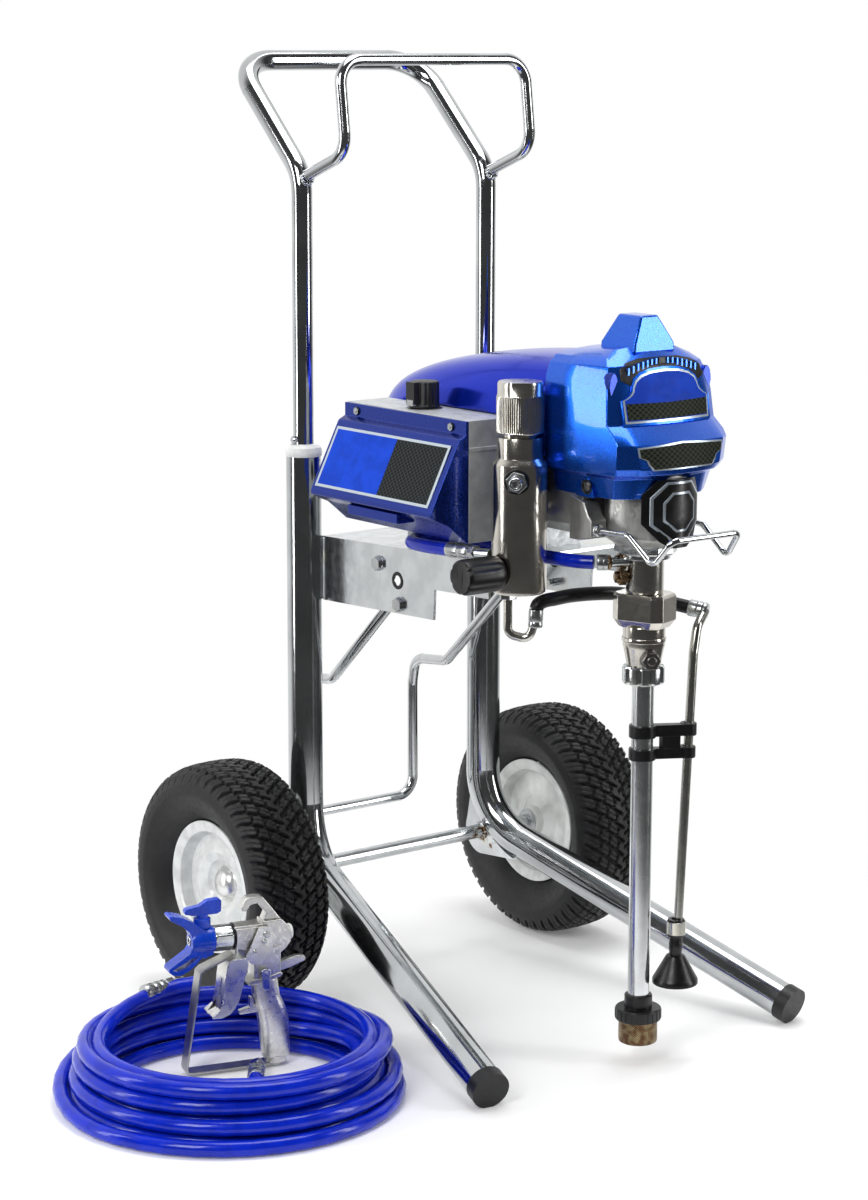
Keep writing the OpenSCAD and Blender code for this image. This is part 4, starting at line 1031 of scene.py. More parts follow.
def make_cover_trim():
    trim = Piece("cover_labels")
    laid_plate(trim, grown(UPPER_LABEL, 4.5), 1.4, M_COVER, 3.0)
    laid_plate(trim, grown(UPPER_LABEL, 2.2), 1.9, M_LABEL_EDGE, 2.0)
    laid_plate(trim, UPPER_LABEL, 2.3, M_LABEL_BLUE, 2.0)
    band = mirror_outline([(51.4, 668), (52.4, 684), (0.5, 683)])
    laid_plate(trim, band, 2.6, M_WEAVE_FRONT, 2.0)
    laid_plate(trim, grown(LOWER_LABEL, 1.8), 1.0, M_LABEL_EDGE, 2.0)
    laid_plate(trim, LOWER_LABEL, 1.5, M_WEAVE_FRONT, 2.0)
    trim.done("cart", angle=40)
    vents = Piece("cover_vents")
    # a black plate laid in the arched vent slot above the label, painted shade for the openings, crossed by
    # ribs of the cover's own blue
    laid_plate(vents, VENT_BAND, 0.5, M_BLACK, 1.6, 28)
    for k in range(-7, 8):
        x = k * 6.0 + (1.5 if k > 0 else -1.5 if k < 0 else 0)
        low = 717 - 0.0042 * x * x
        y = front_y(x, min(low + 4, 725.9))
        # the middle block is black as well, painted shade in the slot
        mat = M_BLACK if k == 0 else M_COVER
        half = 4.2 if k == 0 else 0.9
        vents.box((x - half, y - 1.6, low), (x + half, y + 2.5, low + 8.4), mat)
    vents.done("cart", bevel=0.4)
    sides = Piece("cover_scoops")
    for s in (-1, 1):
        # recess beside the label, drawn as a block of the darker panel blue; its darker colour is painted
        # shade for the hollow
        rim = [(s * (61 + 6 * math.cos(math.radians(a)) * (1 if math.sin(math.radians(a)) > -0.3 else 0.8)),
                699 + 15 * math.sin(math.radians(a))) for a in range(0, 360, 20)]
        place = Matrix(((1, 0, 0, 0), (0, 0, 1, 0), (0, 1, 0, 0), (0, 0, 0, 1)))
        sides.prism(rim, -428.6, -418, M_PANEL, place)
    sides.done("cart", bevel=1.5, segments=3)
    lugs = Piece("cover_fixings")
    for s in (-1, 1):
        lugs.prism([(-386, 589.5), (-406, 589.5), (-406, 596), (-396, 613), (-380, 616), (-380, 589.5)],
                   61, 66.4,
                   M_COVER, Matrix(((0, 0, s, 0), (1, 0, 0, 0), (0, 1, 0, 0), (0, 0, 0, 1))))
        ring = toward((s * 66.0, -397, 600), (s, 0, 0))
        lugs.lathe([(4.0, 0), (7.5, 0), (7.5, 1.5), (6.6, 2.2), (5.4, 1.8), (4.6, 0.4), (4.0, 0)], M_BLACK,
                   ring, 32)
        lugs.lathe([(0.01, 0.2), (4.4, 0.2), (4.2, 1.2), (0.01, 1.4)], M_STEEL, ring, 24)
    lugs.done("cart", bevel=1.0)


# Rear shroud: (y, half width, top height, height of the shoulder crease)
SHROUD_STATIONS = [
    (-345, 78, 724, 690), (-300, 79, 723.5, 690), (-262, 79, 721, 688), (-230, 79, 718, 685), (-177, 79,
            711, 678),
    (-130, 77, 702, 668), (-95, 74, 692, 656), (-68, 69, 682, 644), (-48, 60, 670, 632), (-36, 50, 656,
            622),
    (-30, 40, 640, 612),
]


def shroud_ring(y, w, top, shoulder):
    """The section of the rear shroud at one station, right foot over the top to the left foot."""
    bottom = 560
    half = [(w * 0.90, bottom), (w * 0.97, bottom + 22), (w, bottom + 60), (w, shoulder - 22), (w * 0.985,
            shoulder - 8),
            (w * 0.955, shoulder), (w * 0.83, shoulder + (top - shoulder) * 0.55), (w * 0.62,
                    shoulder + (top - shoulder) * 0.86),
            (w * 0.34, top - 1.2), (0, top)]
    right = [(x, y, z) for x, z in half]
    return right + [(-x, y, z) for x, y, z in reversed(right[:-1])]


def make_shroud():
    shroud = Piece("rear_shroud_shell")
    rings = [shroud_ring(*s) for s in SHROUD_STATIONS]
    loft(shroud, rings, M_SHROUD, cap_start=False, cap_end=True, closed=False)
    shell = shroud.done("cart", ["rear_shroud"], subdivide=2)
    mesh = shell.data
    crease = mesh.attributes.new("crease_edge", "FLOAT", "EDGE")
    n = len(rings[0])
    sharp_columns = {5: 0.75, n - 6: 0.75, 2: 0.3, n - 3: 0.3}
    for edge in mesh.edges:
        a, b = edge.vertices
        column_a, column_b = a % n, b % n
        if column_a == column_b and column_a in sharp_columns:
            crease.data[edge.index].value = sharp_columns[column_a]
        if a // n == b // n and a // n in (0, len(rings) - 1):
            crease.data[edge.index].value = 0.6
    cutters = Piece("shroud_cutter")
    cutters.box((-96, -296, 540), (-71.5, -88, 660), M_SHROUD)
    cutters.lathe([(0.01, 540), (29, 540), (29, 626), (0.01, 626)], M_SHROUD,
                  Matrix.Translation((MANIFOLD[0], MANIFOLD[1], 0)), 48)
    thick = shell.modifiers.new("thickness", "SOLIDIFY")
    thick.thickness = 2.4 * MM
    thick.offset = -1
    cut_mesh = bpy.data.meshes.new("shroud_cutter")
    cut_mesh.from_pydata([v * MM for v in cutters.verts], [], cutters.faces)
    cutter = bpy.data.objects.new("shroud_cutter", cut_mesh)
    bpy.context.scene.collection.objects.link(cutter)
    cutter.hide_render = True
    cut = shell.modifiers.new("cut", "BOOLEAN")
    cut.operation = "DIFFERENCE"
    cut.object = cutter
    cut.solver = "EXACT"


def make_pin_guard():
    """A plain faceted black guard with a raised centre panel."""
    guard = Piece("pin_guard_shield")
    rows = [(541, 10), (548, 22), (566, 37), (594, 37), (609, 24)]
    rings = []
    for z, w in rows:
        front, back = [], []
        for i in range(13):
            x = -w + 2 * w * i / 12
            a = math.asin(max(-1, min(1, x / 50)))
            front.append((x, PUMP[1] - 50 * math.cos(a), z))
            back.append((x * 0.94, PUMP[1] - 46 * math.cos(a), z))
        rings.append(front + back[::-1])
    loft(guard, rings, M_BLACK)
    for scale, lift, mat in ((1.0, 1.0, M_LABEL_EDGE), (0.92, 1.5, M_BLACK), (0.66, 1.9, M_LABEL_EDGE),
                             (0.58, 2.4, M_BLACK)):
        guard_badge(guard, scale, lift, mat)
    guard.done("guard_slide", ["pin_guard"], bevel=0.5, angle=30)


def guard_badge(guard, scale, lift, mat):
    """A long six-sided plate laid on the guard's round front."""
    middle_z, half_z, half_x = 577, 30 * scale, 31 * scale
    radius = 50 + lift
    rows = [(-1, 0.30), (-0.42, 1.0), (0.5, 1.0), (1, 0.52)]
    verts, faces = [], []
    count = 13
    for depth in (0, -2.0):
        for s, w in rows:
            for i in range(count):
                x = half_x * w * (2 * i / (count - 1) - 1)
                y = PUMP[1] - (radius + depth) * math.cos(math.asin(x / radius))
                verts.append((x, y, middle_z + half_z * s))
    back = len(rows) * count
    for j in range(len(rows) - 1):
        for i in range(count - 1):
            a = j * count + i
            quad = [a, a + 1, a + count + 1, a + count]
            faces += [quad, [back + k for k in reversed(quad)]]
        for i in (0, count - 1):
            a, b = j * count + i, (j + 1) * count + i
            faces.append([a, b, back + b, back + a])
    for j in (0, len(rows) - 1):
        for i in range(count - 1):
            a = j * count + i
            faces.append([a, back + a, back + a + 1, a + 1])
    guard.add(verts, faces, mat)


# ---------------------------------------------------------------- pump

def make_pump():
    at = Matrix.Translation((PUMP[0], PUMP[1], 0))
    for node, mat in (("pump_rod", M_STAINLESS), ("connecting_rod", M_STEEL), ("drive_gear", M_STEEL),
                      ("motor_rotor", M_STEEL), ("motor_fan", M_BLACK), ("motor_case", M_CAST_GREY),
                      ("filter_element", M_BLACK), ("suction_tube", M_SUCTION), ("gun_needle",
                              M_STAINLESS)):
        dress(node, mat)
    sleeve = Piece("pump_sleeve")
    sleeve.lathe([(8.1, 562), (18.9, 562), (18.9, 493), (18.4, 490.5), (16.1, 490), (16, 466), (12.5, 466),
                  (12.5, 540), (8.1, 540), (8.1, 562)], M_STAINLESS, at, 64)
    sleeve.lathe([(19, 538), (31, 538), (31.5, 535.5), (31.5, 532), (30, 530), (19, 530), (19, 538)],
                 M_ZINC_DARK, at, 10)
    sleeve.lathe([(19, 530), (25, 530), (25.5, 527), (25, 525), (19, 525), (19, 530)], M_ZINC, at, 64)
    sleeve.done("cart", ["pump_cylinder"], bevel=0.0, angle=30)

    body = Piece("pump_intake_body")
    flats = [(22, -19), (22, 19), (14, 28.4), (-14, 28.4), (-22, 19), (-22, -19), (-14, -28.4), (14, -28.4)]
    turn = Matrix.Rotation(math.radians(20), 4, "Z")

    def ring(scale, z, lobes=flats):
        return [at @ turn @ Vector((x * scale, y * scale, z)) for x, y in lobes]

    loft(body, [ring(0.80, 455), ring(1.0, 463), ring(1.0, 486.5), ring(0.93, 489.5)], M_NICKEL)
    body.lathe([(9, 415.5), (17, 415.5), (17.4, 418), (20.6, 434), (21.4, 437), (21.4, 456), (20.5, 457),
                (9, 457),
                (9, 415.5)], M_NICKEL, at, 64)
    body.lathe([(9, 440), (22, 440), (22.3, 441), (22.3, 444), (22, 445), (9, 445), (9, 440)], M_NICKEL,
               at, 64)
    body.done("cart", ["pump_body"], bevel=1.6, segments=3, angle=28)

    plug = Piece("pump_hex_plug")
    place = Matrix.Translation((PUMP[0], PUMP[1], 424)) @ Matrix.Rotation(math.radians(-24), 4,
            "Z") @ along_axis("-y")
    plug.lathe([(0.01, 13), (9.6, 13), (9.6, 22), (0.01, 22)], M_STEEL, place, 32)
    plug.prism(hexagon(17), 21.5, 26.5, M_STEEL, place)
    plug.lathe([(0.01, 26), (5, 26), (4.4, 27.2), (0.01, 27.2)], M_STEEL, place, 24)
    plug.done("cart", ["pump_plug"], bevel=0.7)

    nut = Piece("suction_nut_scalloped")

    def scallop(a, r, h):
        if r < 15:
            return r
        return r - 3.0 * max(0.0, math.cos(a * 10)) ** 1.5

    nut.lathe([(11.2, 397), (19.5, 397), (21.3, 398.6), (21.5, 400), (21.5, 412.6), (21.2, 414), (19.8,
            415.5),
               (11.2, 415.5), (11.2, 397)], M_ZINC, at, 120, scallop)
    nut.done("cart", ["suction_nut"], angle=30)

    strainer = Piece("inlet_strainer")
    strainer.lathe([(11.2, 57), (11.2, 72), (13.2, 72), (14.2, 71), (14.3, 70), (14.3, 58), (22.6, 58),
                    (23.4, 57),
                    (23.4, 46.5), (22.8, 45.2), (11, 45.2), (11.2, 57)], M_BLACK, at, 64)
    for k in range(24):
        place = at @ Matrix.Rotation(2 * math.pi * k / 24, 4, "Z")
        strainer.box((22.6, -0.9, 46.5), (23.9, 0.9, 56.5), M_BLACK, place)
    strainer.lathe([(0.01, 21), (17.5, 21), (19.6, 22.2), (20, 24), (20, 45.3), (0.01, 45.3)], M_MESH, at,
                   64)
    strainer.done("cart", ["strainer"], bevel=0.3, angle=30)

    make_drain()
    make_clip()


DRAIN_ROUTE = [(74, -419, 463), (55, -428, 450), (49, -430, 425), (33, -430, 112)]
DRAIN_HOSE = [(-92, -352, 474), (-90, -353, 479), (-83, -355, 482), (-72, -357, 483), (-50, -358, 484),
              (-20, -361, 483),
              (8, -364, 480), (34, -372, 474), (54, -388, 469), (67, -407, 465)]


def make_drain():
    tube = Piece("drain_pipe")
    tube.sweep(rounded_path(DRAIN_ROUTE, 14), 4.75, M_STAINLESS, 20)
    start, finish = Vector((67, -407, 465)), Vector((76, -421, 462.6))
    place = toward(start, finish - start)
    long = (finish - start).length
    tube.lathe([(0.01, -3), (8.0, -3), (8.5, -1.5), (8.5, 5), (7.9, 6), (8.5, 7), (8.5, 11), (7.9, 12),
                (8.5, 13),
                (8.5, long - 2), (7.4, long), (0.01, long)], M_ZINC_DARK, place, 32)
    tube.done("cart", ["drain_tube"], angle=30)
    end = DRAIN_ROUTE[3]
    cone = Piece("drain_deflector_cone")
    cone.lathe([(4.8, 96), (4.8, 150), (8.4, 150), (9.2, 148.5), (9.2, 133), (8.4, 131.5), (6.7, 131.3),
                (6.5, 126),
                (6.9, 125), (6.9, 118), (6.5, 117), (6.6, 112.5), (9.4, 111.5), (10.4, 110), (22.4, 88.5),
                (23.3, 87),
                (23.4, 82.8), (22.8, 82.1), (20.5, 82.1), (9, 101), (4.8, 96)], M_BLACK,
               Matrix.Translation((end[0] - 1, end[1], 0)), 72)
    cone.lathe([(9.25, 134), (9.9, 134.6), (9.9, 147.4), (9.25, 148), (6, 148), (6, 134), (9.25, 134)],
               M_ZINC_DARK,
               Matrix.Translation((end[0] - 0.4, end[1], 0)), 48)
    cone.done("cart", ["drain_deflector"], angle=30)
    hose = Piece("drain_hose_black")
    hose.sweep(smooth_path(DRAIN_HOSE, 5), 7.0, M_RUBBER_HOSE, 24)
    hose.done("cart", ["drain_hose"], angle=40)


def make_clip():
    clip = Piece("tube_clip_double")
    at = Matrix.Translation((PUMP[0], PUMP[1], 0))
    for low, high in ((341, 354), (318, 330)):
        clip.lathe([(11.15, low), (13.2, low), (13.8, low + 0.8), (13.8, high - 0.8), (13.2, high), (11.15,
                high),
                    (11.15, low)], M_BLACK, at, 48)
        clip.lathe([(4.8, low), (8.0, low), (8.6, low + 0.8), (8.6, high - 0.8), (8.0, high), (4.8, high),
                    (4.8, low)],
                   M_BLACK, Matrix.Translation((43.8 if low > 330 else 42.8, -430, 0)), 32)
        clip.prism([(9, PUMP[1] - 9.5), (37, -435), (38, -424), (9, PUMP[1] + 3)], low + 0.6, high - 0.6,
                   M_BLACK)
    clip.prism([(15, -424), (33, -431), (34, -425), (16, -417)], 329, 342, M_BLACK)
    clip.done("cart", ["tube_clip"], bevel=0.8, angle=35)


# ---------------------------------------------------------------- castings round the pump

def make_castings():
    house = Piece("drive_housing_casting")
    outline = mirror_outline([(40, 545), (60, 558), (62, 575), (62, 680), (48, 706)])
    upright = Matrix(((1, 0, 0, 0), (0, 0, 1, 0), (0, 1, 0, 0), (0, 0, 0, 1)))
    house.prism(outline, -386, -289, M_CAST, upright)
    for s in (-1, 1):
        # boss that takes the pail hook
        sideways = Matrix(((0, 0, s, 0), (1, 0, 0, 0), (0, 1, 0, 0), (0, 0, 0, 1)))
        house.prism([(-370, 545), (-384, 545), (-404, 549), (-404, 566), (-398, 571), (-392, 584), (-370,
                590)], 46, 66,
                    M_CAST, sideways)
        house.lathe([(0.01, 0), (6.2, 0), (6.2, 5), (5.2, 6.5), (0.01, 6.5)], M_ZINC,
                    toward((s * 60.4, -403.5, 557), (-s * 0.24, -1, 0)), 24)
    house.done("cart", ["drive_housing"], bevel=2.4, segments=3)
    bearing = Piece("bearing_casting")

    def ribs(a, r, h):
        return r + (1.6 * max(0, math.cos(6 * a + 0.6)) ** 4 if r > 40 else 0)

    bearing.lathe([(19, 538), (30, 538), (33, 541), (41, 546), (43, 549), (43.2, 560), (42.4, 590), (42.4,
            620),
                   (19, 620), (19, 538)], M_CAST, Matrix.Translation((PUMP[0], PUMP[1], 0)), 96, ribs)
    bearing.done("cart", ["bearing_housing"], bevel=0.0, angle=32)


# ---------------------------------------------------------------- control box

def make_control():
    low, high = box_mm("control_box")
    front, rear = low[1], high[1]
    bottom, top = low[2], high[2]
    skin = low[0]
    section = Matrix(((1, 0, 0, 0), (0, 0, 1, 0), (0, 1, 0, 0), (0, 0, 0, 1)))
    case = Piece("control_housing")
    case.prism([(-72, bottom), (-72, top - 6), (-78, top), (skin, top), (skin, bottom)], front, rear,
               M_CAST_GREY, section)
    case.prism([(-71.2, bottom + 92), (-71.2, bottom + 96), (skin - 0.2, bottom + 96), (skin - 0.2,
            bottom + 92)],
               front - 1.2, rear + 1.2, M_CAST_GREY, section)
    case.lathe([(0.01, 0), (19, 0), (19, 1.2), (17.5, 2.0), (0.01, 2.0)], M_BLACK_SATIN,
               Matrix.Translation((KNOB[0], KNOB[1], top - 1.2)), 48)
    # gland on the rear end for the power lead
    gland = along_axis("y", (-100, rear - 1, 566))
    case.lathe([(4, 0), (11, 0), (11, 4), (9.5, 5), (9.2, 14), (7.5, 18), (4, 18), (4, 0)], M_BLACK, gland,
               32)
    plate = along_axis("y", (-100, rear - 0.4, 600))
    case.lathe([(4.6, 0), (9, 0), (9, 1.4), (7.5, 3.4), (5.2, 4.4), (4.6, 4.4), (4.6, 0)], M_ZINC_DARK,
               plate, 6)
    case.done("cart", ["control_box"], bevel=1.6, segments=3)

    cover = Piece("control_cover_blue")
    shell = [(skin, top - 0.5), (skin - 3.5, top - 0.5), (skin - 3.5, top - 14), (skin - 11.5, top - 18),
             (skin - 12.8, top - 20), (skin - 48, 570), (skin - 47.6, 566), (skin - 38, 561), (skin - 26,
                     556),
             (skin - 2, bottom), (skin, bottom)]
    cover.prism(shell, front, rear, M_PANEL, section)
    cover.box((skin - 44, front + 60, 552), (skin - 22, rear - 60, 562), M_PANEL)
    cover.done("cart", ["control_cover"], bevel=1.5, segments=3, angle=18)

    # label on the slanted face
    upper, lower = Vector((skin - 14, 0, top - 21)), Vector((skin - 47.2, 0, 571.5))
    down = (lower - upper)
    outward = Vector((down.z, 0, -down.x)).normalized()
    if outward.x > 0:
        outward = -outward

    def on_face(y, share, lift):
        p = upper + down * share + outward * lift
        return Vector((p.x, y, p.z))

    label = Piece("control_label")

    def plate_on_face(y0, y1, s0, s1, lift, mat, depth=0.8):
        corners = [(y0, s0), (y1, s0), (y1, s1), (y0, s1)]
        verts = [on_face(y, s, lift) for y, s in corners] + [on_face(y, s, lift - depth) for y,
                                                             s in corners]
        label.add(verts, [[0, 1, 2, 3], [7, 6, 5, 4], [0, 4, 5, 1], [1, 5, 6, 2], [2, 6, 7, 3], [3, 7, 4,
                0]], mat)

    split = front + 0.46 * (rear - front)
    plate_on_face(front + 8, rear - 5, 0.05, 0.95, 0.7, M_LABEL_EDGE)
    plate_on_face(front + 11.5, split, 0.09, 0.91, 1.0, M_WEAVE_SIDE)
    plate_on_face(split, rear - 8.5, 0.09, 0.91, 1.0, M_LABEL_BLUE)
    label.done("cart", bevel=0.3)
    fixings = Piece("control_screws")
    for y in (front + 24, rear - 22):
        spot = toward((skin - 3.4, y, top - 8), (-1, 0, 0))
        fixings.lathe([(0.01, 0), (4.4, 0), (4.4, 1), (3.6, 2.0), (0.01, 2.4)], M_BLACK, spot, 24)
        fixings.lathe([(0.01, 2.2), (1.6, 2.2), (1.4, 2.8), (0.01, 2.8)], M_ZINC_DARK, spot, 12)
    fixings.done("cart", angle=30)
    make_knob(top)
    dress("power_switch", M_ZINC)


def make_knob(top):
    knob = Piece("pressure_knob_grip")
    at = Matrix.Translation((KNOB[0], KNOB[1], top))

    def flutes(a, r, h):
        return r - (0.8 * max(0, math.cos(12 * a)) if r > 13 and h > 3 else 0)

    knob.lathe([(0.01, 0.4), (15.2, 0.4), (15.5, 1.4), (15.5, 3), (15, 4), (15, 26), (14.2, 27.6), (12,
            28), (0.01, 28)],
               M_BLACK_SATIN, at, 144, flutes)
    knob.box((-19, -7, 5), (-6, 7, 27.6), M_BLACK_SATIN, at)
    knob.box((-19.4, -5.4, 3.0), (-12, 5.4, 9.5), M_ZINC_DARK, at)
    knob.done("pressure_knob", ["pressure_knob"], bevel=0.8, angle=32)


# ---------------------------------------------------------------- filter manifold and fluid fittings

def make_manifold():
    at = Matrix.Translation((MANIFOLD[0], MANIFOLD[1], 0))
    body = Piece("filter_manifold")
    body.lathe([(17, 646), (22.4, 646), (22.8, 645), (22.8, 626), (23.6, 624.5), (25.6, 622.5), (27.3,
            619.5),
                (27.6, 617), (27.6, 495), (26.8, 492.4), (25, 491), (7, 491), (7, 510), (17, 510), (17,
                        646)],
               M_NICKEL, at, 96)
    body.lathe([(0.01, 0), (15, 0), (15, 22), (0.01, 22)], M_NICKEL, along_axis("x", (MANIFOLD[0] + 20,
            MANIFOLD[1] + 14, 580)), 40)
    # blanking plug on the side that faces the box
    body.prism(hexagon(19), 27, 33, M_ZINC, along_axis("y", (MANIFOLD[0] + 4, MANIFOLD[1], 585)))
    body.done("cart", ["manifold_body"], angle=22)
    cap = Piece("filter_cap_knurled")

    def knurl(a, r, h):
        if 652 <= h <= 686 and r > 23:
            return r - 0.55 * abs(math.sin(35 * a))
        if h > 688.5 and r > 20:
            c = abs(math.cos(a - 0.9))
            return min(r, 20.0 / max(c, 0.01))
        return r

    cap.lathe([(0.01, 632), (16.9, 632), (16.9, 646.2), (17.6, 647), (17.6, 650), (22.6, 650), (23.4, 651),
               (23.4, 652),
               (23.4, 660), (23.4, 668), (23.4, 676), (23.4, 686), (23.2, 687.4), (22.5, 688.4), (22.5,
                       699),
               (21.4, 701), (0.01, 701)], M_NICKEL, at, 280, knurl)
    cap.done("filter_cap", ["filter_cap"], angle=40)
    outlet = Piece("outlet_nipple")
    way = toward((MANIFOLD[0], MANIFOLD[1], 605), (-1, -1, 0))
    outlet.lathe([(6.4, 26.4), (12.4, 26.4), (12.8, 27.4), (12.4, 28.6), (6.4, 28.6), (6.4, 26.4)],
                 M_BLACK, way, 48)
    outlet.prism(hexagon(19), 28, 33, M_ZINC, way)
    outlet.lathe([(3.2, 18), (6.4, 18), (6.4, 33), (6.6, 33.6), (6.6, 42.6), (5.8, 43.7), (3.6, 43.7),
                  (3.2, 42), (3.2, 18)],
                 M_ZINC, way, 40)
    outlet.done("cart", ["outlet_fitting"], bevel=0.5, angle=30)
    valve = Piece("prime_valve_knob")
    low, high = box_mm("prime_valve")
    place = along_axis("-x", (MANIFOLD[0], MANIFOLD[1], (low[2] + high[2]) / 2))
    inner, outer = 28.4, MANIFOLD[0] - low[0]

    def grip(a, r, h):
        return r - (1.3 * max(0, math.cos(6 * a)) ** 3 if r > 14 and h > inner + 10 else 0)

    valve.lathe([(0.01, 8), (7, 8), (7, inner), (16.4, inner), (17.6, inner + 2), (18, inner + 6), (18,
            inner + 12),
                 (18, outer - 6), (17.4, outer - 2), (15.6, outer), (13, outer - 0.4), (0.01, outer - 1)],
                 M_BLACK, place,
                96, grip)
    valve.box((-14, -3, outer - 5), (14, 3, outer - 0.4), M_BLACK, place)
    valve.done("prime_valve", ["prime_valve"], bevel=0.8, angle=32)
    pipe = Piece("return_pipe")
    route = [(-112, -332, 486), (-112, -332, 448), (-97, -347, 443), (-92, -352, 466)]
    pipe.sweep(rounded_path(route, 9), 4.5, M_STAINLESS, 20)
    pipe.prism(hexagon(16), 484, 491, M_ZINC, Matrix.Translation((-112, -332, 0)))
    end = toward((-92.6, -351.4, 456), (0.03, -0.03, 1))
    pipe.lathe([(4.6, 0), (7, 0), (7.4, 1), (7.4, 5), (6.9, 6), (7.4, 7), (7.4, 16), (7, 18), (4.6, 18),
                (4.6, 0)],
               M_ZINC_DARK, end, 32)
    pipe.done("cart", ["return_tube"], bevel=0.4, angle=30)
    make_link_hose()


LINK_ROUTE = [(-49, -389, 522), (-58, -376, 522), (-64, -356, 522), (-67, -330, 522), (-68, -280, 522),
              (-72, -230, 522),
              (-84, -190, 522), (-104, -174, 522), (-122, -188, 522), (-128, -220, 523), (-128, -262, 525)]


def make_link_hose():
    hose = Piece("link_hose_blue")
    hose.sweep(smooth_path(LINK_ROUTE, 5), 7.0, M_HOSE, 24)
    for start, finish, tail in (((-128, -258, 525), (-126, -299, 527), (-122.6, -317, 528)),
                                ((-47, -391, 522), (-36, -399, 522), (-18.4, -405, 522))):
        way = Vector(finish) - Vector(start)
        place = toward(start, way)
        n = way.length
        hose.lathe([(0.01, 0), (7.6, 0), (8.0, 1.5), (8.0, n * 0.4), (7.6, n * 0.43), (8.0, n * 0.46),
                    (8.0, n * 0.75),
                    (6.6, n * 0.82), (0.01, n * 0.82)], M_ZINC_DARK, place, 36)
        hose.prism(hexagon(13.5), n * 0.82, n, M_ZINC if start[0] < -60 else M_BRONZE, place)
        rest = Vector(tail) - Vector(finish)
        hose.lathe([(0.01, 0), (5, 0), (5, rest.length), (0.01, rest.length)], M_ZINC, toward(finish,
                rest), 24)
    for z in (522, 506):
        out = toward((-17, -402, z), (-0.87, 0.35, 0))
        hose.prism(hexagon(15), 2, 9, M_BRONZE, out)
        hose.lathe([(0.01, 0), (6, 0), (6, 12), (4, 13), (0.01, 13)], M_BRONZE, out, 24)
    hose.done("cart", ["link_hose"], bevel=0.5, angle=32)


# ---------------------------------------------------------------- spray gun

def gun_place(extra=None):
    base = Matrix.Translation(GUN_AT) @ Matrix.Rotation(GUN_TURN, 4, "Z")
    return base @ extra if extra else base


# local x along the gun, local y up, local z across
GUN_SIDE = Matrix(((1, 0, 0, 0), (0, 0, -1, 0), (0, 1, 0, 0), (0, 0, 0, 1)))


def gun_plate(piece, outline, width, mat, middle_y=0.0):
    place = gun_place(Matrix.Translation((0, middle_y, 0)) @ GUN_SIDE)
    piece.prism(outline, -width / 2, width / 2, mat, place)


def gun_round(piece, profile, mat, at, axis, seg=48, scallop=None):
    piece.lathe(profile, mat, gun_place(toward(at, axis)), seg, scallop)


def grip_section(t):
    """Half depth, half width and centre of the grip, t from 0 at the foot to 1 at the neck."""
    keys = [(0.0, 14.6, 10.4, 1.4), (0.1, 15.0, 11.2, 1.2), (0.45, 15.9, 12.2, -1.0), (0.62, 15.6, 12.2,
            -4.0),
            (0.78, 13.9, 11.8, -8.6), (1.0, 13.4, 11.8, -10.6)]
    for (t0, *a), (t1, *b) in zip(keys, keys[1:]):
        if t <= t1:
            s = (t - t0) / (t1 - t0)
            return [p + (q - p) * s for p, q in zip(a, b)]
    return keys[-1][1:]


def make_grip(gun):
    rings = []
    for i in range(19):
        t = i / 18
        half_depth, half_width, centre = grip_section(t)
        ring = []
        for k in range(32):
            a = 2 * math.pi * k / 32
            c, n = math.cos(a), math.sin(a)
            x = centre + half_depth * math.copysign(abs(c) ** 0.75, c)
            y = half_width * math.copysign(abs(n) ** 0.75, n)
            ring.append(gun_place() @ Vector((x, y, 10 + 84 * t)))
        rings.append(ring)
    loft(gun, rings, M_GUN)
    gun_round(gun, [(0.01, 4), (10.6, 4), (11, 5), (11, 12), (0.01, 12)], M_GUN, (0.8, 0, 0), (0, 0, 1))
    gun_round(gun, [(4, 0.1), (6.6, 0.1), (7, 1), (7, 5), (4, 5), (4, 0.1)], M_ZINC_DARK, (0, 0, 0), (0, 0,
            1))


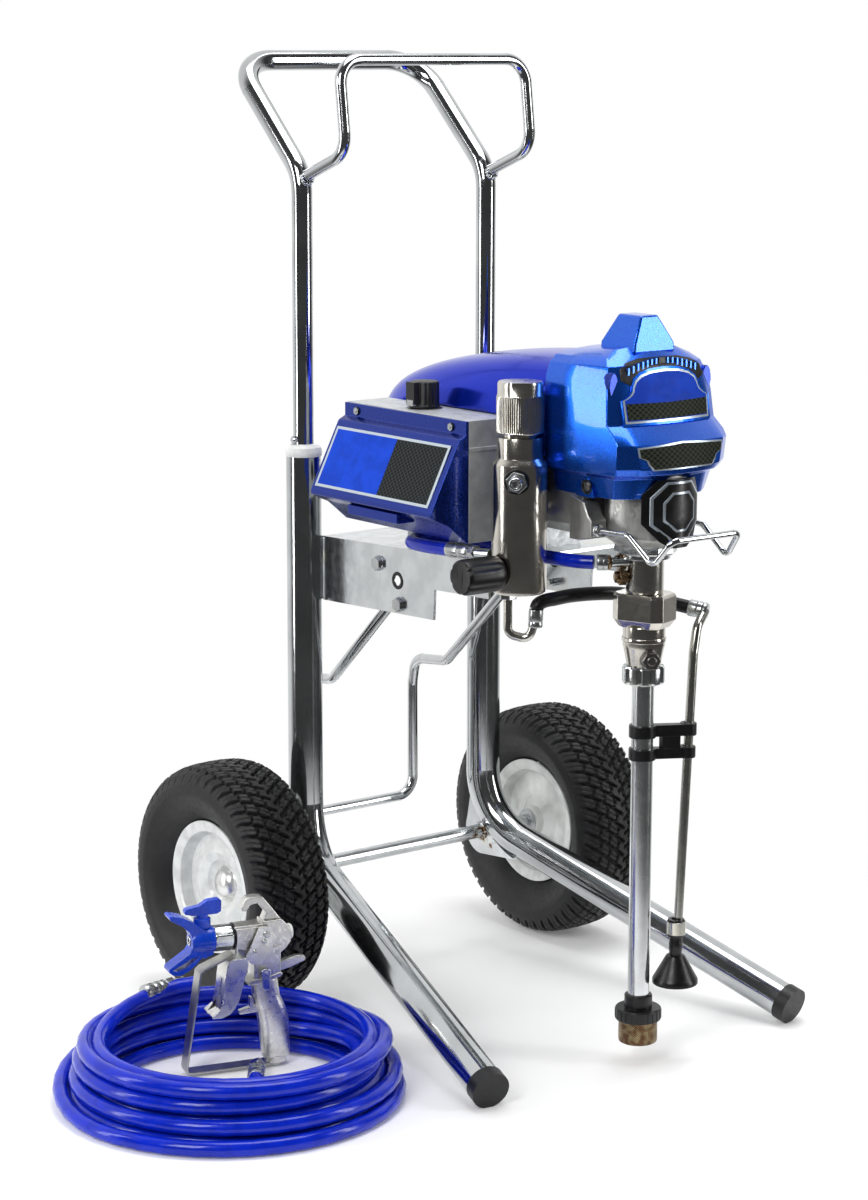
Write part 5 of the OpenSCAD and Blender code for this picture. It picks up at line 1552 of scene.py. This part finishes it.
def make_gun():
    gun = Piece("gun_casting")
    make_grip(gun)
    # yoke over the grip with its flange, the long rear fin and the small clip
    gun_plate(gun, [(-24, 95), (-22, 92.5), (2, 96), (4, 99), (4.5, 129), (-2, 131), (-24, 116)], 23.4,
              M_GUN)
    gun_plate(gun, [(-32, 93.2), (-31, 90.8), (-16, 91.6), (3, 96.6), (6, 99.4), (4, 101.6), (-12, 97.6),
                    (-24, 96.4)], 26, M_GUN)
    gun_plate(gun, [(2, 99), (18, 102.5), (32.5, 107.6), (33.5, 110.4), (32, 113), (24, 113.6), (2, 109)],
              8, M_GUN)
    gun_plate(gun, [(-38, 60.2), (-37, 58), (-14, 59.4), (-10, 64.4), (-22, 65.6), (-23, 75), (-26, 76),
                    (-27, 64.8),
                    (-37.4, 62.4)], 7, M_TRIGGER)
    # head: front box, faceted rear and hook
    gun_plate(gun, [(-44, 131.5), (-33, 127.5), (-12, 122), (-12, 153), (-44, 153)], 19.8, M_GUN)
    gun_plate(gun, [(-42.6, 137), (-12, 137), (-12, 151), (-42.6, 151)], 22.4, M_GUN)
    gun_plate(gun, [(-14, 121), (2, 119), (10, 125), (15.4, 132), (17, 141), (11, 151), (6, 156), (-14,
            156)], 21, M_GUN)
    gun_plate(gun, [(-14, 150), (10.5, 150), (-6, 172), (-13, 180.6), (-15, 181.4), (-29, 181), (-31.4,
            179), (-35.6, 171),
                    (-34.6, 168), (-31, 166.8), (-29.4, 168.4), (-26.2, 173.2), (-18, 174.8), (-9, 163.5),
                    (-13.4, 154)],
              13.5, M_GUN)
    gun_round(gun, [(0.01, 0), (8.2, 0), (8.2, 2), (6.8, 4), (0.01, 4.4)], M_WHITE, (15.6, 0, 139.5), (1,
            0, 0), 40)
    gun_round(gun, [(6.1, 43), (9, 43), (9, 60), (6.1, 60), (6.1, 43)], M_ZINC_DARK, (0, 0, 141), (-1, 0,
            0), 40)
    gun_round(gun, [(9, 42), (13.4, 42), (13.9, 43), (13.9, 44.6), (9, 44.6), (9, 42)], M_BLACK, (0, 0,
            141), (-1, 0, 0), 48)
    gun.done("cart", ["gun_body"], bevel=1.1, segments=3, angle=28)
    make_trigger()

    guard = Piece("gun_hand_guard")
    route = [(-42, 133), (-43, 124), (-76, 111.4), (-79.6, 108.2), (-95.4, 9), (-94.4, 5.2), (-90, 4.0),
             (0, 4.0)]
    strap(guard, route, 2.2, 19.0, M_STRAP)
    guard.done("cart", ["gun_guard"], bevel=0.7, angle=28)

    lock = Piece("gun_trigger_lock")
    gun_round(lock, [(0.01, 2), (3, 2), (3, 15.8), (4.6, 16.2), (4.6, 18.6), (0.01, 19)], M_ZINC, (-14, 0,
            104), (0, -1, 0), 24)
    gun_plate(lock, [(-19, 106), (-17, 108.5), (-11, 108.5), (-9, 106), (-10.5, 88), (-12, 86.2), (-16,
            86.2), (-17.5, 88)],
              2.6, M_ZINC, -17.5)
    lock.done("trigger_lock", ["gun_lock"], bevel=0.7)
    make_tip()


def make_trigger():
    trigger = Piece("gun_trigger_lever")
    plate = [(-21, 149.4), (-19, 151), (-9.6, 152), (-7.6, 150.8), (-1.6, 137.6), (-1.8, 135.6), (-15,
            115.6), (-17, 114.2),
             (-28, 113.6), (-33.4, 119.4), (-33.6, 122)]
    lever = [(-33, 121), (-47, 120.6), (-50.4, 118.6), (-53, 114), (-55.4, 100), (-56.6, 88), (-58.6, 77),
             (-61, 69.6),
             (-69.4, 63.4), (-69, 61.4), (-60, 60.8), (-51.6, 63.8), (-45.6, 70), (-41, 79), (-37.2, 92.5),
             (-31.4, 113)]
    front = [(-34, 121.2), (-47, 121.2), (-51, 119), (-53.6, 114), (-56, 100), (-57.2, 88), (-59.2, 77),
             (-61.6, 69.8),
             (-70, 63.6), (-69.4, 61.2), (-66, 61.6), (-58.2, 68.4), (-55.8, 77), (-54, 89), (-52.6, 101),
             (-50.4, 113.4),
             (-46.4, 117.8), (-34, 118)]
    for side in (-1, 1):
        gun_plate(trigger, plate, 2.6, M_TRIGGER, side * 14)
        gun_plate(trigger, lever, 2.4, M_TRIGGER, side * 13.8)
        for x, z, r in ((-11.9, 144, 3.8), (-14.4, 136.8, 2.6), (-24.6, 127.6, 2.2)):
            gun_round(trigger, [(0.01, 10), (r - 0.6, 10), (r - 0.6, 15.2), (r, 15.4), (r, 16.2), (r - 0.7,
                    16.9), (0.01, 17)],
                      M_ZINC_DARK, (x, 0, z), (0, side, 0), 24)
    gun_plate(trigger, front, 29, M_TRIGGER)
    gun_plate(trigger, [(x - 0.9, z) for x, z in front[4:9]] + [(x, z) for x, z in reversed(front[4:9])],
              7, M_TRIGGER)
    trigger.done("trigger", ["gun_trigger"], bevel=1.0, segments=3, angle=28)


def strap(piece, route, thick, width, mat):
    """A flat bent strap following a route of (along, up) points in the gun's plane."""
    pts = [Vector((x, z)) for x, z in route]
    outer, inner = [], []
    for i, p in enumerate(pts):
        before = (p - pts[max(i - 1, 0)]).normalized() if i else (pts[1] - p).normalized()
        after = (pts[min(i + 1, len(pts) - 1)] - p).normalized() if i < len(pts) - 1 else before
        d = (before + after).normalized()
        normal = Vector((-d.y, d.x)) * thick / 2 / max(0.5, d.dot(after))
        outer.append(tuple(p + normal))
        inner.append(tuple(p - normal))
    place = gun_place(GUN_SIDE)
    verts = []
    for side in (-width / 2, width / 2):
        verts += [(x, z, side) for x, z in outer] + [(x, z, side) for x, z in inner]
    n = len(pts)
    faces = [[0, n, 3 * n, 2 * n], [n - 1, 3 * n - 1, 4 * n - 1, 2 * n - 1]]
    for i in range(n - 1):
        faces += [[i, i + 1, n + i + 1, n + i], [2 * n + i, 3 * n + i, 3 * n + i + 1, 2 * n + i + 1],
                  [i, 2 * n + i, 2 * n + i + 1, i + 1], [n + i, n + i + 1, 3 * n + i + 1, 3 * n + i]]
    piece.add(verts, faces, mat, place)


def make_tip():
    nut = Piece("tip_guard_body")

    def facets(a, r, h):
        return min(r, 12.6 / max(math.cos((a + math.pi / 8) % (math.pi / 4) - math.pi / 8), 0.01))

    gun_round(nut, [(9.1, 45), (12.5, 45), (13.6, 46.2), (13.6, 63), (12.5, 64.4), (9.1, 64.4), (9.1, 45)],
              M_ZINC,
              (0, 0, 141), (-1, 0, 0), 64, facets)
    gun_round(nut, [(2, 64), (13.4, 64), (13.8, 65.5), (13.8, 70), (13, 84), (11, 88), (5.5, 88.6), (5,
            84), (2, 84), (2, 64)],
              M_TIP, (0, 0, 141), (-1, 0, 0), 64)
    gun_round(nut, [(3, 84.5), (5, 84.5), (5, 89.5), (3, 89.5), (3, 84.5)], M_ZINC, (0, 0, 141), (-1, 0,
            0), 32)
    upper = [(-66, 149), (-78, 155), (-88, 163.5), (-98, 168.6), (-109.5, 171.6), (-112, 170), (-110,
            166.6), (-98, 159.6),
             (-90, 151.6), (-87.4, 145), (-80, 141), (-66, 141)]
    gun_plate(nut, upper, 19, M_TIP)
    # the lower wing is an open triangle
    gun_plate(nut, [(-66, 141), (-80, 141), (-87.4, 137), (-91, 130.6), (-112.6, 116.6), (-112, 113.4),
                    (-106, 116.4),
                    (-88, 125.4), (-80, 127), (-76, 123.6), (-66, 127)], 19, M_TIP)
    gun_plate(nut, [(-76, 127), (-84, 118.8), (-92, 112.4), (-101, 108.6), (-108, 109.6), (-113, 113.6),
                    (-112.4, 116.6),
                    (-104, 113.4), (-95, 115.4), (-86, 122), (-80, 128)], 19, M_TIP)
    nut.done("tip_guard", ["tip_guard"], bevel=1.0, segments=3, angle=28)
    tip = Piece("spray_tip_handle")
    gun_round(tip, [(0.01, 126), (5, 126), (6, 127), (6, 168), (0.01, 168)], M_TIP, (-75, 0, 0), (0, 0, 1),
              40)
    gun_round(tip, [(0.01, 154), (8, 154), (8.6, 155), (8.6, 164), (0.01, 164)], M_TIP, (-75, 0, 0), (0, 0,
            1), 40)
    gun_plate(tip, [(-93.5, 170), (-94, 173), (-92, 175.5), (-78, 177.5), (-70, 182.4), (-58, 183), (-55.6,
            181), (-56, 170),
                    (-60, 167.6), (-84, 167.6)], 8.5, M_TIP)
    tip.done("spray_tip", ["spray_tip"], bevel=1.0, segments=3, angle=28)


# ---------------------------------------------------------------- the object

make_camera()
make_hose()
make_studio()
for end in (-1, 1):
    make_tyre(end)
    make_rim(end)
make_hub_caps()
make_cart()
make_handle_welds()
make_tray()
make_front_cover()
make_shroud()
make_pin_guard()
make_castings()
make_pump()
make_control()
make_manifold()
make_gun()
